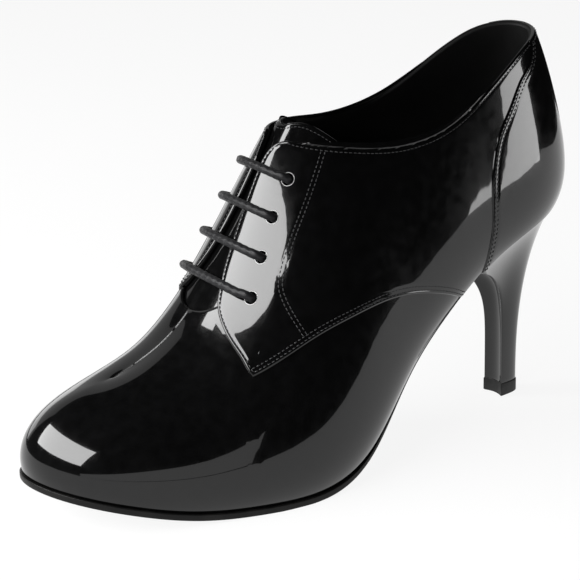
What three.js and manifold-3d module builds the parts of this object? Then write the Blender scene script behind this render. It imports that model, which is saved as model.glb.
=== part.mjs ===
// A woman's patent leather lace-up shoe with a slim high heel, left foot.
// Millimetres. X runs to the toe, Y to the wearer's left, Z up.
// The origin is the middle of the heel tip's face on the floor.

import * as THREE from 'three';
import { mergeVertices } from 'three/addons/utils/BufferGeometryUtils.js';
import Module from 'manifold-3d';

const wasm = await Module();
wasm.setup();

// Main sizes of the last that the shoe is made on
const SHOE_LENGTH = 232;
const SEAT_HEIGHT = 81.4;
const BALL_WIDTH = 77.2;
const INSTEP_HEIGHT = 107;
const SEAT_OVERHANG = 21.3;
const RIDGE_SETBACK = 49.3;
const RIDGE_LENGTH = 146.5;
const BELLY_HEIGHT = 17;

// Thicknesses and clearances
const WALL = 1.3;
const QUARTER_LIFT = 0.9;
const COUNTER_LIFT = 0.6;
const SEAM_GAP = 0.3;
const SOLE_EDGE = 2.8;
const SOLE_WAIST = 1.6;
const SOLE_RIM = 0.9;
const INSOLE_THICKNESS = 2.0;
const TONGUE_THICKNESS = 1.7;

// Heel and its tip
const BREAST_AT = 0.232;
const TIP_THICKNESS = 5.5;
const TIP_LENGTH = 10.6;
const TIP_WIDTH = 10.2;
const TIP_BACK = 6.7;
const TIP_RIM = 0.3;

// Lacing
const LACE_DIAMETER = 3.2;
const HOLE_DIAMETER = 4.8;
const LACE_BEND = 2.1;
const HOLE_COUNT = 4;
const HOLE_PITCH = 14.5;
const FIRST_HOLE_UP = -2.2;

// The throat lies on a plane that leans back over the instep
const THROAT_TILT = THREE.MathUtils.degToRad(30);
const THROAT_TURN = THREE.MathUtils.degToRad(2.4);
const THROAT_SHIFT = -7.2;
const THROAT_OPENING = 0.34;
const TOPLINE_DROP = 0.15;

// How finely the curved walls are divided
const TURNS = 36;
const LEVELS = 14;

// Sections of the last from the heel at 0 to the toe at 1, as shares of the main sizes.
// foot is a share of the seat height, top of the instep height, the others of the ball width.
// half holds the breadth of the end curve in the first and last rows.
// round is the power of the section's curve, 2 for an ellipse.
const LAST = [
  { at: 0.0, foot: 1.000, shift: 0.000, half: 0.505, top: 1.682, lean: 0.000, belly: 0.058, round: 2.18 },
  { at: 0.1, foot: 0.926, shift: 0.004, half: 0.247, top: 1.650, lean: -0.003, belly: 0.055, round: 2.26 },
  { at: 0.2, foot: 0.822, shift: 0.009, half: 0.282, top: 1.617, lean: -0.008, belly: 0.047, round: 2.30 },
  { at: 0.3, foot: 0.651, shift: 0.022, half: 0.313, top: 1.555, lean: -0.016, belly: 0.040, round: 2.20 },
  { at: 0.4, foot: 0.418, shift: 0.040, half: 0.352, top: 1.420, lean: -0.032, belly: 0.040, round: 2.10 },
  { at: 0.5, foot: 0.150, shift: 0.047, half: 0.432, top: 1.243, lean: -0.058, belly: 0.040, round: 2.05 },
  { at: 0.6, foot: 0.040, shift: 0.025, half: 0.493, top: 1.005, lean: -0.085, belly: 0.044, round: 2.00 },
  { at: 0.7, foot: 0.035, shift: -0.003, half: 0.487, top: 0.744, lean: -0.098, belly: 0.044, round: 2.00 },
  { at: 0.8, foot: 0.057, shift: -0.034, half: 0.440, top: 0.553, lean: -0.106, belly: 0.034, round: 2.05 },
  { at: 0.9, foot: 0.124, shift: -0.071, half: 0.366, top: 0.463, lean: -0.111, belly: 0.019, round: 2.15 },
  { at: 1.0, foot: 0.204, shift: -0.115, half: 0.692, top: 0.418, lean: -0.115, belly: 0.013, round: 2.25 },
];

// Topline seen from the side, from the back forward: shares of the shoe length and the seat height
const TOPLINE = [
  { along: -0.100, up: 1.868 },
  { along: -0.039, up: 1.847 },
  { along: -0.013, up: 1.829 },
  { along: 0.013, up: 1.806 },
  { along: 0.043, up: 1.767 },
  { along: 0.086, up: 1.699 },
  { along: 0.129, up: 1.627 },
  { along: 0.172, up: 1.564 },
  { along: 0.216, up: 1.522 },
  { along: 0.259, up: 1.500 },
  { along: 0.302, up: 1.493 },
  { along: 0.345, up: 1.500 },
  { along: 0.388, up: 1.514 },
  { along: 0.431, up: 1.523 },
  { along: 0.500, up: 1.523 },
];

// Front edge of both quarters from the low point up the eyestay.
// out is the distance from the middle of the throat and up the distance along the instep,
// both shares of the ball width.
const EYESTAY_EDGE = [
  { out: 0.900, up: -0.480 },
  { out: 0.490, up: -0.345 },
  { out: 0.433, up: -0.302 },
  { out: 0.380, up: -0.268 },
  { out: 0.313, up: -0.232 },
  { out: 0.249, up: -0.193 },
  { out: 0.196, up: -0.155 },
  { out: 0.152, up: -0.108 },
  { out: 0.122, up: -0.050 },
  { out: 0.091, up: 0.025 },
  { out: 0.067, up: 0.110 },
  { out: 0.050, up: 0.200 },
  { out: 0.036, up: 0.310 },
  { out: 0.026, up: 0.430 },
  { out: 0.021, up: 0.530 },
];

// Rounded top corners of the two quarters, going on from the eyestay edge
const LEFT_CORNER = [
  { out: 0.026, up: 0.600 },
  { out: 0.052, up: 0.655 },
  { out: 0.101, up: 0.693 },
  { out: 0.177, up: 0.723 },
  { out: 0.230, up: 0.760 },
];
const RIGHT_CORNER = [
  { out: 0.024, up: 0.600 },
  { out: 0.030, up: 0.660 },
  { out: 0.048, up: 0.712 },
  { out: 0.080, up: 0.750 },
  { out: 0.120, up: 0.780 },
  { out: 0.150, up: 0.815 },
];

// Throat edge of the vamp from its middle to the side, as the eyestay edge is given
const VAMP_EDGE = [
  { out: 0.000, up: -0.200 },
  { out: 0.060, up: -0.188 },
  { out: 0.120, up: -0.158 },
  { out: 0.172, up: -0.112 },
];

// Lower seam of the quarter seen from the side: shares of the shoe length and the seat height
const QUARTER_SEAM = [
  { along: 0.660, up: 0.560 },
  { along: 0.601, up: 0.612 },
  { along: 0.513, up: 0.724 },
  { along: 0.444, up: 0.781 },
  { along: 0.348, up: 0.811 },
  { along: 0.258, up: 0.769 },
  { along: 0.196, up: 0.701 },
  { along: 0.140, up: 0.600 },
];

// Seam of the back counter seen from the side, from the topline down
const COUNTER_SEAM = [
  { along: -0.010, up: 1.920 },
  { along: -0.004, up: 1.776 },
  { along: 0.010, up: 1.700 },
  { along: 0.036, up: 1.640 },
  { along: 0.066, up: 1.532 },
  { along: 0.096, up: 1.419 },
  { along: 0.111, up: 1.316 },
  { along: 0.120, up: 1.179 },
  { along: 0.122, up: 1.007 },
  { along: 0.128, up: 0.916 },
  { along: 0.133, up: 0.845 },
  { along: 0.139, up: 0.740 },
];

// Outline of the tongue from its middle foot to its middle top, as the eyestay edge is given
const TONGUE_EDGE = [
  { out: 0.000, up: -0.400 },
  { out: 0.160, up: -0.395 },
  { out: 0.225, up: -0.350 },
  { out: 0.245, up: -0.200 },
  { out: 0.275, up: 0.200 },
  { out: 0.325, up: 0.620 },
  { out: 0.328, up: 0.700 },
  { out: 0.305, up: 0.755 },
  { out: 0.248, up: 0.793 },
  { out: 0.180, up: 0.808 },
  { out: 0.120, up: 0.806 },
  { out: 0.070, up: 0.790 },
  { out: 0.030, up: 0.768 },
  { out: 0.000, up: 0.762 },
];

// Distance of each lace hole from the middle of the throat, from the lowest up, a share of the ball width
const HOLE_OUT = [0.306, 0.254, 0.215, 0.200];

// Heel from its seat at 0 to its tip at 1. The powers say how fast each line falls to the tip's outline.
const HEEL_BACK_POWER = 2.15;
const HEEL_CORNER_POWER = 6.0;
const HEEL_BREAST_POWER = 9.0;
const BREAST_HOLLOW = 1.2;

// Natural cubic spline through one column of a table
function spline(rows, column) {
  const x = rows.map((row) => row.at);
  const y = rows.map((row) => row[column]);
  const count = x.length;
  const bend = new Array(count).fill(0);
  const carry = new Array(count).fill(0);
  for (let i = 1; i < count - 1; i += 1) {
    const share = (x[i] - x[i - 1]) / (x[i + 1] - x[i - 1]);
    const weight = share * bend[i - 1] + 2;
    const rise = (y[i + 1] - y[i]) / (x[i + 1] - x[i]) - (y[i] - y[i - 1]) / (x[i] - x[i - 1]);
    bend[i] = (share - 1) / weight;
    carry[i] = ((6 * rise) / (x[i + 1] - x[i - 1]) - share * carry[i - 1]) / weight;
  }
  for (let i = count - 2; i > 0; i -= 1) {
    bend[i] = bend[i] * bend[i + 1] + carry[i];
  }
  bend[0] = 0;
  return (at) => {
    let i = 1;
    while (i < count - 1 && x[i] < at) {
      i += 1;
    }
    const step = x[i] - x[i - 1];
    const a = (x[i] - at) / step;
    const b = (at - x[i - 1]) / step;
    const curve = (a * a * a - a) * bend[i - 1] + (b * b * b - b) * bend[i];
    return a * y[i - 1] + b * y[i] + (curve * step * step) / 6;
  };
}

// The half width is divided by the sine of the turn, so that both ends come out round
const widthRows = LAST.map((row) => {
  const sine = 2 * Math.sqrt(row.at * (1 - row.at));
  return { at: row.at, spread: sine > 0 ? row.half / sine : row.half };
});
const footShare = spline(LAST, 'foot');
const shiftShare = spline(LAST, 'shift');
const spreadShare = spline(widthRows, 'spread');
const topShare = spline(LAST, 'top');
const leanShare = spline(LAST, 'lean');
const bellyShare = spline(LAST, 'belly');
const roundPower = spline(LAST, 'round');

// Point of the foot line: turn 0 is the toe, a half turn the heel, and the wearer's left comes first
function footPoint(turn, grow = 0) {
  const at = (1 + Math.cos(turn)) / 2;
  const x = SHOE_LENGTH * at - SEAT_OVERHANG;
  const y = BALL_WIDTH * (shiftShare(at) + spreadShare(at) * Math.sin(turn));
  const z = SEAT_HEIGHT * footShare(at);
  if (grow === 0) {
    return new THREE.Vector3(x, y, z);
  }
  const before = footPoint(turn - 0.01);
  const after = footPoint(turn + 0.01);
  const along = after.sub(before).setZ(0).normalize();
  return new THREE.Vector3(x + along.y * grow, y - along.x * grow, z);
}

function turnAt(at) {
  return Math.acos(2 * at - 1);
}

// Point of the last's surface: rise runs from 0 at the foot line to a quarter turn at the ridge
function lastPoint(turn, rise) {
  if (rise > Math.PI / 2) {
    return lastPoint(-turn, Math.PI - rise);
  }
  const at = (1 + Math.cos(turn)) / 2;
  const foot = footPoint(turn);
  const ridgeX = RIDGE_SETBACK - SEAT_OVERHANG + RIDGE_LENGTH * at;
  const ridgeY = BALL_WIDTH * leanShare(at);
  const ridgeZ = INSTEP_HEIGHT * topShare(at);
  const power = 2 / roundPower(at);
  const up = Math.sin(Math.max(rise, 0)) ** power;
  const inward = 1 - Math.max(Math.cos(rise), 0) ** power;
  const reach = Math.hypot(ridgeX - foot.x, ridgeY - foot.y);
  const height = (up * (ridgeZ - foot.z)) / BELLY_HEIGHT;
  const bulge = BALL_WIDTH * bellyShare(at) * height * Math.exp(1 - height);
  const share = inward - (bulge / Math.max(reach, 2)) * (1 - inward);
  return new THREE.Vector3(
    foot.x + (ridgeX - foot.x) * share,
    foot.y + (ridgeY - foot.y) * share,
    foot.z + (ridgeZ - foot.z) * up,
  );
}

// Outward direction of the last's surface
function lastNormal(turn, rise) {
  const step = 0.004;
  const low = Math.max(rise, 0.02);
  const alongTurn = lastPoint(turn + step, low).sub(lastPoint(turn - step, low));
  const alongRise = lastPoint(turn, low + step).sub(lastPoint(turn, low - step));
  const normal = alongTurn.cross(alongRise);
  if (normal.length() < 1e-7) {
    const near = turn < Math.PI / 2 ? 0.12 : Math.PI - 0.12;
    return lastNormal(near, rise).setY(0).normalize();
  }
  normal.normalize();
  if (rise === 0) {
    normal.setZ(0).normalize();
  }
  return normal;
}

function surfacePoint(turn, rise, inset) {
  return lastPoint(turn, rise).addScaledVector(lastNormal(turn, rise), -inset);
}

// Turns a triangle list into a closed indexed geometry
function closedGeometry(corners) {
  const loose = new THREE.BufferGeometry();
  loose.setAttribute('position', new THREE.Float32BufferAttribute(corners, 3));
  const merged = mergeVertices(loose, 1e-4);
  const index = merged.getIndex();
  const kept = [];
  for (let i = 0; i < index.count; i += 3) {
    const a = index.getX(i);
    const b = index.getX(i + 1);
    const c = index.getX(i + 2);
    if (a !== b && b !== c && c !== a) {
      kept.push(a, b, c);
    }
  }
  merged.setIndex(kept);
  return merged;
}

// Closed skin through rings of equal length, each running left side first, from low to high.
// A ring is closed by strips from its left to its right side.
function skin(rings, closedTop = true) {
  const corners = [];
  const count = rings[0].length;
  const half = count / 2;
  const push = (a, b, c) => {
    corners.push(a.x, a.y, a.z, b.x, b.y, b.z, c.x, c.y, c.z);
  };
  for (let level = 0; level < rings.length - 1; level += 1) {
    for (let i = 0; i < count; i += 1) {
      const next = (i + 1) % count;
      push(rings[level][i], rings[level][next], rings[level + 1][next]);
      push(rings[level][i], rings[level + 1][next], rings[level + 1][i]);
    }
  }
  const cap = (ring, flip) => {
    for (let i = 0; i < half; i += 1) {
      const left = ring[i];
      const leftNext = ring[i + 1];
      const right = ring[(count - i) % count];
      const rightNext = ring[count - i - 1];
      if (flip) {
        push(leftNext, right, left);
        push(leftNext, rightNext, right);
      } else {
        push(leftNext, left, right);
        push(leftNext, right, rightNext);
      }
    }
  };
  cap(rings[0], false);
  if (closedTop) {
    cap(rings[rings.length - 1], true);
  }
  return closedGeometry(corners);
}

function toSolid(geometry) {
  const source = geometry.clone();
  source.deleteAttribute('normal');
  source.deleteAttribute('uv');
  const merged = mergeVertices(source, 1e-4);
  const vertProperties = Float32Array.from(merged.getAttribute('position').array);
  const triVerts = Uint32Array.from(merged.getIndex().array);
  return new wasm.Manifold(new wasm.Mesh({ numProp: 3, vertProperties, triVerts }));
}

function toGeometry(solid) {
  const mesh = solid.getMesh();
  const geometry = new THREE.BufferGeometry();
  const positions = Float32Array.from(mesh.vertProperties);
  geometry.setAttribute('position', new THREE.Float32BufferAttribute(positions, 3));
  geometry.setIndex(Array.from(mesh.triVerts));
  geometry.computeVertexNormals();
  return geometry;
}

// The last's form, set in or out by a thickness, with an optional skirt under the foot line
function lastForm(inset, skirt = 0) {
  const rings = [];
  const rises = [];
  for (let level = 0; level <= LEVELS; level += 1) {
    rises.push((level / LEVELS) * (Math.PI / 2));
  }
  for (const rise of rises) {
    const ring = [];
    for (let i = 0; i < 2 * TURNS; i += 1) {
      ring.push(surfacePoint((i / TURNS) * Math.PI, rise, inset));
    }
    rings.push(ring);
  }
  const top = rings[rings.length - 1];
  for (let i = 1; i < TURNS; i += 1) {
    top[2 * TURNS - i] = top[i];
  }
  if (skirt > 0) {
    const down = new THREE.Vector3(0, 0, -skirt);
    rings.unshift(rings[0].map((point) => point.clone().add(down)));
  }
  return toSolid(skin(rings, false));
}

// A shape drawn in a plane and pushed both ways through it
function prism(points, place, reach) {
  const shape = new THREE.Shape(points);
  const geometry = new THREE.ExtrudeGeometry(shape, { depth: 2 * reach, bevelEnabled: false });
  geometry.translate(0, 0, -reach);
  geometry.applyMatrix4(place);
  return toSolid(geometry);
}

// Seen from the left side: X along the shoe and Z up become the drawing's axes
function sideView(drop = 0) {
  const across = new THREE.Vector3(0, -1, drop);
  return new THREE.Matrix4().makeBasis(new THREE.Vector3(1, 0, 0), new THREE.Vector3(0, 0, 1), across);
}

// Seen square to the throat: across the instep and up along it become the drawing's axes
function throatView() {
  const facing = new THREE.Vector3(Math.cos(THROAT_TILT), 0, Math.sin(THROAT_TILT));
  const up = new THREE.Vector3(-Math.sin(THROAT_TILT), 0, Math.cos(THROAT_TILT));
  const across = new THREE.Vector3(0, 1, 0);
  up.applyAxisAngle(facing, -THROAT_TURN);
  across.applyAxisAngle(facing, -THROAT_TURN);
  const view = new THREE.Matrix4().makeBasis(across, up, facing);
  return view.setPosition(0, THROAT_SHIFT, 0);
}
const THROAT = throatView();
const THROAT_INVERSE = THROAT.clone().invert();

function sidePoints(rows) {
  return rows.map((row) => new THREE.Vector2(row.along * SHOE_LENGTH, row.up * SEAT_HEIGHT));
}

function smoothLine(points, steps) {
  return new THREE.SplineCurve(points).getPoints(steps);
}

function throatPoints(rows, steps) {
  const points = rows.map((row) => new THREE.Vector2(row.out * BALL_WIDTH, row.up * BALL_WIDTH));
  return smoothLine(points, steps);
}

function mirrored(points) {
  return points.map((point) => new THREE.Vector2(-point.x, point.y)).reverse();
}

const FAR = 400;

// Everything above the topline
const toplinePoints = smoothLine(sidePoints(TOPLINE), 36);
const aboveTopline = prism(
  [...toplinePoints, new THREE.Vector2(FAR, toplinePoints[36].y), new THREE.Vector2(FAR, FAR),
    new THREE.Vector2(-FAR, FAR), new THREE.Vector2(-FAR, toplinePoints[0].y)],
  sideView(TOPLINE_DROP),
  200,
);

// Everything above the lower seam of the quarters
const seamPoints = smoothLine(sidePoints(QUARTER_SEAM), 24);
const aboveSeam = prism(
  [...seamPoints, new THREE.Vector2(-FAR, seamPoints[24].y - 100), new THREE.Vector2(-FAR, FAR),
    new THREE.Vector2(FAR, FAR), new THREE.Vector2(FAR, seamPoints[0].y - 40)],
  sideView(),
  200,
);

// Everything behind the counter's seam
const counterPoints = smoothLine(sidePoints(COUNTER_SEAM), 24);
const behindCounter = prism(
  [...counterPoints, new THREE.Vector2(counterPoints[24].x, -50), new THREE.Vector2(-FAR, -50),
    new THREE.Vector2(-FAR, FAR), new THREE.Vector2(counterPoints[0].x, FAR)],
  sideView(),
  200,
);

// Everything behind the front edges of the quarters
const leftEdge = throatPoints([...EYESTAY_EDGE, ...LEFT_CORNER], 44);
const rightEdge = mirrored(throatPoints([...EYESTAY_EDGE, ...RIGHT_CORNER], 44));
const behindEyestays = prism(
  [...leftEdge, ...rightEdge, new THREE.Vector2(-FAR, -60), new THREE.Vector2(-FAR, FAR),
    new THREE.Vector2(FAR, FAR), new THREE.Vector2(FAR, -60)],
  THROAT,
  FAR,
);

// The gap between the front corners of the quarters, only as deep as the instep
const leftCorner = leftEdge[44];
const rightCorner = rightEdge[0];
const cornerGap = prism(
  [leftCorner, new THREE.Vector2(leftCorner.x, 2 * BALL_WIDTH),
    new THREE.Vector2(rightCorner.x, 2 * BALL_WIDTH), rightCorner, new THREE.Vector2(0, leftCorner.y - 8)],
  THROAT.clone().multiply(new THREE.Matrix4().makeTranslation(0, 0, 152)),
  26,
);

// The open throat above the vamp's edge, wider than the gap between the quarters that close it in
const throatHalf = throatPoints(VAMP_EDGE, 8);
throatHalf.push(new THREE.Vector2(THROAT_OPENING * BALL_WIDTH, BALL_WIDTH / 2));
throatHalf.push(new THREE.Vector2(THROAT_OPENING * BALL_WIDTH, BALL_WIDTH));
const throatSolid = prism(
  [...throatHalf, ...mirrored(throatHalf).slice(0, -1)],
  THROAT.clone().multiply(new THREE.Matrix4().makeTranslation(0, 0, 152)),
  26,
);

// Point of the surface that lies at a place in the throat's drawing
function onThroat(out, up, inset) {
  let best = { turn: out > 0 ? 0.8 : 2 * Math.PI - 0.8, rise: 1.1 };
  let spanTurn = 0.75;
  let spanRise = 0.46;
  for (let pass = 0; pass < 7; pass += 1) {
    let least = Infinity;
    let found = best;
    for (let i = -6; i <= 6; i += 1) {
      for (let j = -6; j <= 6; j += 1) {
        const turn = best.turn + (i / 6) * spanTurn;
        const rise = Math.min(best.rise + (j / 6) * spanRise, Math.PI / 2);
        const seen = surfacePoint(turn, rise, inset).applyMatrix4(THROAT_INVERSE);
        const miss = Math.hypot(seen.x - out, seen.y - up);
        if (miss < least) {
          least = miss;
          found = { turn, rise };
        }
      }
    }
    best = found;
    spanTurn *= 0.35;
    spanRise *= 0.35;
  }
  return best;
}

// A round rod from one point to another
function rod(from, to, diameter, sides) {
  const length = from.distanceTo(to);
  const geometry = new THREE.CylinderGeometry(diameter / 2, diameter / 2, length, sides);
  const turn = new THREE.Quaternion();
  turn.setFromUnitVectors(new THREE.Vector3(0, 1, 0), to.clone().sub(from).normalize());
  const middle = from.clone().add(to).multiplyScalar(0.5);
  geometry.applyMatrix4(new THREE.Matrix4().compose(middle, turn, new THREE.Vector3(1, 1, 1)));
  return toSolid(geometry);
}

// Upper: vamp, quarters and counter in one wall, open at the topline, the throat and underneath
const vampForm = lastForm(0);
const quarterForm = lastForm(-QUARTER_LIFT);
const counterForm = lastForm(-QUARTER_LIFT - COUNTER_LIFT);
const innerForm = lastForm(WALL, 12);
let upper = vampForm.subtract(throatSolid);
upper = upper.add(quarterForm.intersect(behindEyestays).intersect(aboveSeam).subtract(cornerGap));
upper = upper.add(counterForm.intersect(behindCounter));
upper = upper.subtract(aboveTopline);
upper = upper.subtract(innerForm);

// End of a lace bar: out of its hole, square to the eyestay, and bent over towards the throat
function laceEnd(out, up, lift) {
  const hole = onThroat(out, up, 0);
  const point = lastPoint(hole.turn, hole.rise);
  const normal = lastNormal(hole.turn, hole.rise);
  const nearer = onThroat(out * 0.8, up, 0);
  const inward = lastPoint(nearer.turn, nearer.rise).sub(point);
  inward.addScaledVector(normal, -inward.dot(normal)).normalize();
  const start = lift - LACE_BEND;
  const heights = [SEAM_GAP - WALL, (start - WALL) / 2];
  const points = heights.map((height) => point.clone().addScaledVector(normal, height));
  for (let i = 0; i <= 4; i += 1) {
    const angle = (i / 4) * (Math.PI / 2);
    const away = point.clone().addScaledVector(normal, start + LACE_BEND * Math.sin(angle));
    points.push(away.addScaledVector(inward, LACE_BEND * (1 - Math.cos(angle))));
  }
  return points;
}

// Lace holes, square to the eyestays, and the path of each lace bar
const laceBars = [];
for (let row = 0; row < HOLE_COUNT; row += 1) {
  const up = FIRST_HOLE_UP + row * HOLE_PITCH;
  const out = HOLE_OUT[row] * BALL_WIDTH;
  for (const side of [1, -1]) {
    const place = onThroat(side * out, up, 0);
    const point = lastPoint(place.turn, place.rise);
    const normal = lastNormal(place.turn, place.rise);
    const from = point.clone().addScaledVector(normal, -6);
    const to = point.clone().addScaledVector(normal, 6);
    upper = upper.subtract(rod(from, to, HOLE_DIAMETER, 16));
  }
  const lift = QUARTER_LIFT + 2 * SEAM_GAP + LACE_DIAMETER / 2;
  const ends = [1, -1].map((side) => laceEnd(side * out, up, lift));
  const over = [];
  const steps = 8;
  const span = out - LACE_BEND - 1;
  for (let i = 0; i <= steps; i += 1) {
    const place = onThroat((1 - (2 * i) / steps) * span, up, -lift);
    over.push(surfacePoint(place.turn, place.rise, -lift));
  }
  const path = [...ends[0], ...over, ...ends[1].reverse()];
  laceBars.push(path);
}

// Tongue: under the vamp's edge and the quarters, standing above them
const tongueHalf = throatPoints(TONGUE_EDGE, 30);
const tonguePrism = prism(
  [...tongueHalf, ...mirrored(tongueHalf).slice(1, -1)],
  THROAT.clone().multiply(new THREE.Matrix4().makeTranslation(0, 0, 152)),
  40,
);
const tongueOuter = lastForm(WALL + SEAM_GAP);
const tongueInner = lastForm(WALL + SEAM_GAP + TONGUE_THICKNESS, 12);
const tongue = tongueOuter.subtract(tongueInner).intersect(tonguePrism);

// Sole: from the toe to the front of the heel, thick at the edge of the forepart and thin at the waist
function soleRing(grow, drop) {
  const ring = [];
  const breast = turnAt(BREAST_AT);
  const edgePoint = (turn) => {
    const at = (1 + Math.cos(turn)) / 2;
    const fore = THREE.MathUtils.smoothstep(at, 0.36, 0.6);
    const point = footPoint(turn, grow * fore - 0.4 * (1 - fore));
    const thickness = SOLE_WAIST + (SOLE_EDGE - SOLE_WAIST) * fore;
    point.z = Math.max(point.z - SEAM_GAP - drop * (thickness - SEAM_GAP), 0);
    return point;
  };
  for (let i = 0; i < TURNS; i += 1) {
    ring.push(edgePoint((i / (TURNS - 1)) * breast));
  }
  ring.push(edgePoint(breast).lerp(edgePoint(-breast), 0.5));
  for (let i = TURNS - 1; i > 0; i -= 1) {
    ring.push(edgePoint((-i / (TURNS - 1)) * breast));
  }
  return ring;
}
const soleRings = [soleRing(SOLE_RIM - 0.5, 1), soleRing(SOLE_RIM, 0.82), soleRing(SOLE_RIM, 0)];
const outsole = toSolid(skin(soleRings));

// Insole: inside the upper, on the sole and the heel
function insoleRing(height) {
  const ring = [];
  for (let i = 0; i < 2 * TURNS; i += 1) {
    const point = footPoint((i / TURNS) * Math.PI, -WALL - SEAM_GAP - 0.1);
    point.z += height;
    ring.push(point);
  }
  return ring;
}
const insole = toSolid(skin([insoleRing(0), insoleRing(INSOLE_THICKNESS)]));

// Heel: from the seat down to the tip, with a hollow breast
function heelRing(drop) {
  const ring = [];
  const breast = turnAt(BREAST_AT);
  const sideSteps = 15;
  const breastSteps = 6;
  const fall = (power) => 1 - (1 - drop) ** power;
  const tipFront = TIP_LENGTH - TIP_BACK;
  const place = (turn, share) => {
    const seat = footPoint(turn, 0.5);
    seat.z -= SEAM_GAP;
    const angle = share * (Math.PI / 2);
    const side = Math.sin(turn) >= 0 ? 1 : -1;
    const tipX = tipFront - TIP_LENGTH * Math.sin(angle);
    const tipY = side * (TIP_WIDTH / 2) * Math.cos(angle) ** 0.6;
    const power = HEEL_CORNER_POWER + (HEEL_BACK_POWER - HEEL_CORNER_POWER) * share ** 0.55;
    return new THREE.Vector3(
      seat.x + (tipX - seat.x) * fall(power),
      seat.y + (tipY - seat.y) * fall(power),
      seat.z + (TIP_THICKNESS - seat.z) * drop,
    );
  };
  for (let i = 0; i <= sideSteps; i += 1) {
    const share = i / sideSteps;
    ring.push(place(breast + (Math.PI - breast) * share, share));
  }
  for (let i = sideSteps - 1; i >= 0; i -= 1) {
    const share = i / sideSteps;
    ring.push(place(2 * Math.PI - breast - (Math.PI - breast) * share, share));
  }
  const right = ring[ring.length - 1];
  const left = ring[0];
  const seatX = footPoint(breast, 0.5).x;
  const middle = seatX + (tipFront - seatX) * fall(HEEL_BREAST_POWER);
  const hollow = left.x - middle + BREAST_HOLLOW * Math.min(drop * 6, 1);
  for (let i = 1; i < breastSteps; i += 1) {
    const share = i / breastSteps;
    const bow = 1 - (2 * share - 1) ** 2;
    const point = right.clone().lerp(left, share);
    point.x -= hollow * bow;
    ring.push(point);
  }
  return ring;
}
const heelDrops = [1, 0.85, 0.68, 0.52, 0.38, 0.27, 0.18, 0.11, 0.06, 0.025, 0];

// Rings of the heel start at the middle of the breast, so that strips can close them
function startAtBreast(ring) {
  const start = ring.length - 3;
  return [...ring.slice(start), ...ring.slice(0, start)];
}
const heel = toSolid(skin(heelDrops.map((drop) => startAtBreast(heelRing(drop)))));

// Heel tip: a flat top piece a little larger than the heel's end
function tipRing(height, rim) {
  return startAtBreast(heelRing(1)).map((point) => {
    const out = new THREE.Vector3(point.x + TIP_BACK - TIP_LENGTH / 2, point.y, 0);
    const length = out.length();
    return new THREE.Vector3(
      point.x + (out.x / length) * rim,
      point.y + (out.y / length) * rim,
      height,
    );
  });
}
const tipRings = [tipRing(0, 0), tipRing(0.4, TIP_RIM), tipRing(TIP_THICKNESS, TIP_RIM)];
const heelTip = toSolid(skin(tipRings));

// Colours and finishes
const patent = (color) => new THREE.MeshStandardMaterial({ color, roughness: 0.08, metalness: 0 });
const matt = (color, roughness) => new THREE.MeshStandardMaterial({ color, roughness, metalness: 0 });

const group = new THREE.Group();

function place(name, solid, material) {
  const mesh = new THREE.Mesh(toGeometry(solid), material);
  mesh.name = name;
  group.add(mesh);
}

place('upper', upper, patent(0x0b0b0c));
place('tongue', tongue, patent(0x0c0c0d));
place('outsole', outsole, matt(0x171718, 0.4));
place('insole', insole, matt(0x141415, 0.7));
place('heel', heel, patent(0x0d0d0f));
place('heel_tip', heelTip, matt(0x161616, 0.65));

// Lace bars, each one round cord bent over the throat and down into its two holes
laceBars.forEach((path, row) => {
  const curve = new THREE.CatmullRomCurve3(path, false, 'centripetal');
  const round = new THREE.Shape();
  round.absarc(0, 0, LACE_DIAMETER / 2, 0, 2 * Math.PI, false);
  const cord = new THREE.ExtrudeGeometry(round, { steps: 30, extrudePath: curve, curveSegments: 4 });
  place(`lace_bar_${row + 1}`, toSolid(cord), matt(0x1c1c1e, 0.5));
});

export default group;
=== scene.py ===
import math

import bmesh
import bpy
import numpy as np
from mathutils import Matrix, Vector


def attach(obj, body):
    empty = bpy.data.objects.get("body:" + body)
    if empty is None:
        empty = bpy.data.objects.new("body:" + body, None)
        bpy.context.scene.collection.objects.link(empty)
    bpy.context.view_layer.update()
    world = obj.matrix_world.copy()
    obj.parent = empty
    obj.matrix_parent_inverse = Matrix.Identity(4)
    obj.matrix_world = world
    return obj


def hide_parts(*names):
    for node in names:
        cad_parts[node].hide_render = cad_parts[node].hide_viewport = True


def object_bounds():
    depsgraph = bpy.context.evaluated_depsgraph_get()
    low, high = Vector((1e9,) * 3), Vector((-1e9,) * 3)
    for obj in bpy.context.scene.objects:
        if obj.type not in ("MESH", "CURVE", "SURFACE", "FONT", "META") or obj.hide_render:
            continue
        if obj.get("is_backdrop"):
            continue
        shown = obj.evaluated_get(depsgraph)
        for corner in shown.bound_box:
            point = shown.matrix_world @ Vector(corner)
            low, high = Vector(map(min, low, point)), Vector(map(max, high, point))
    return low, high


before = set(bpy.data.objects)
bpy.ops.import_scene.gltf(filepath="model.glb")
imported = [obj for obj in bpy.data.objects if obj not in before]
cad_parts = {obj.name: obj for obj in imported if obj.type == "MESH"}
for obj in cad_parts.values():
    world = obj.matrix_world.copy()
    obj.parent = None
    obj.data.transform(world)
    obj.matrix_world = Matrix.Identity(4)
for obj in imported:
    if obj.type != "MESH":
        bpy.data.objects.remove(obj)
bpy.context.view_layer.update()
scene = bpy.context.scene

# Camera: in front of the toe on the shoe's outer side, a little above it, as in the photograph.
# The long lens stands 0.69 m off and is rolled by just over a degree.
CAMERA_TURN = math.radians(35.2765)
CAMERA_ELEVATION = math.radians(18.3599)
CAMERA_ROLL = math.radians(-1.3882)
CAMERA_DISTANCE = 0.68917
CAMERA_TARGET = Vector((0.10385, 0.0, 0.06552))

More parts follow.
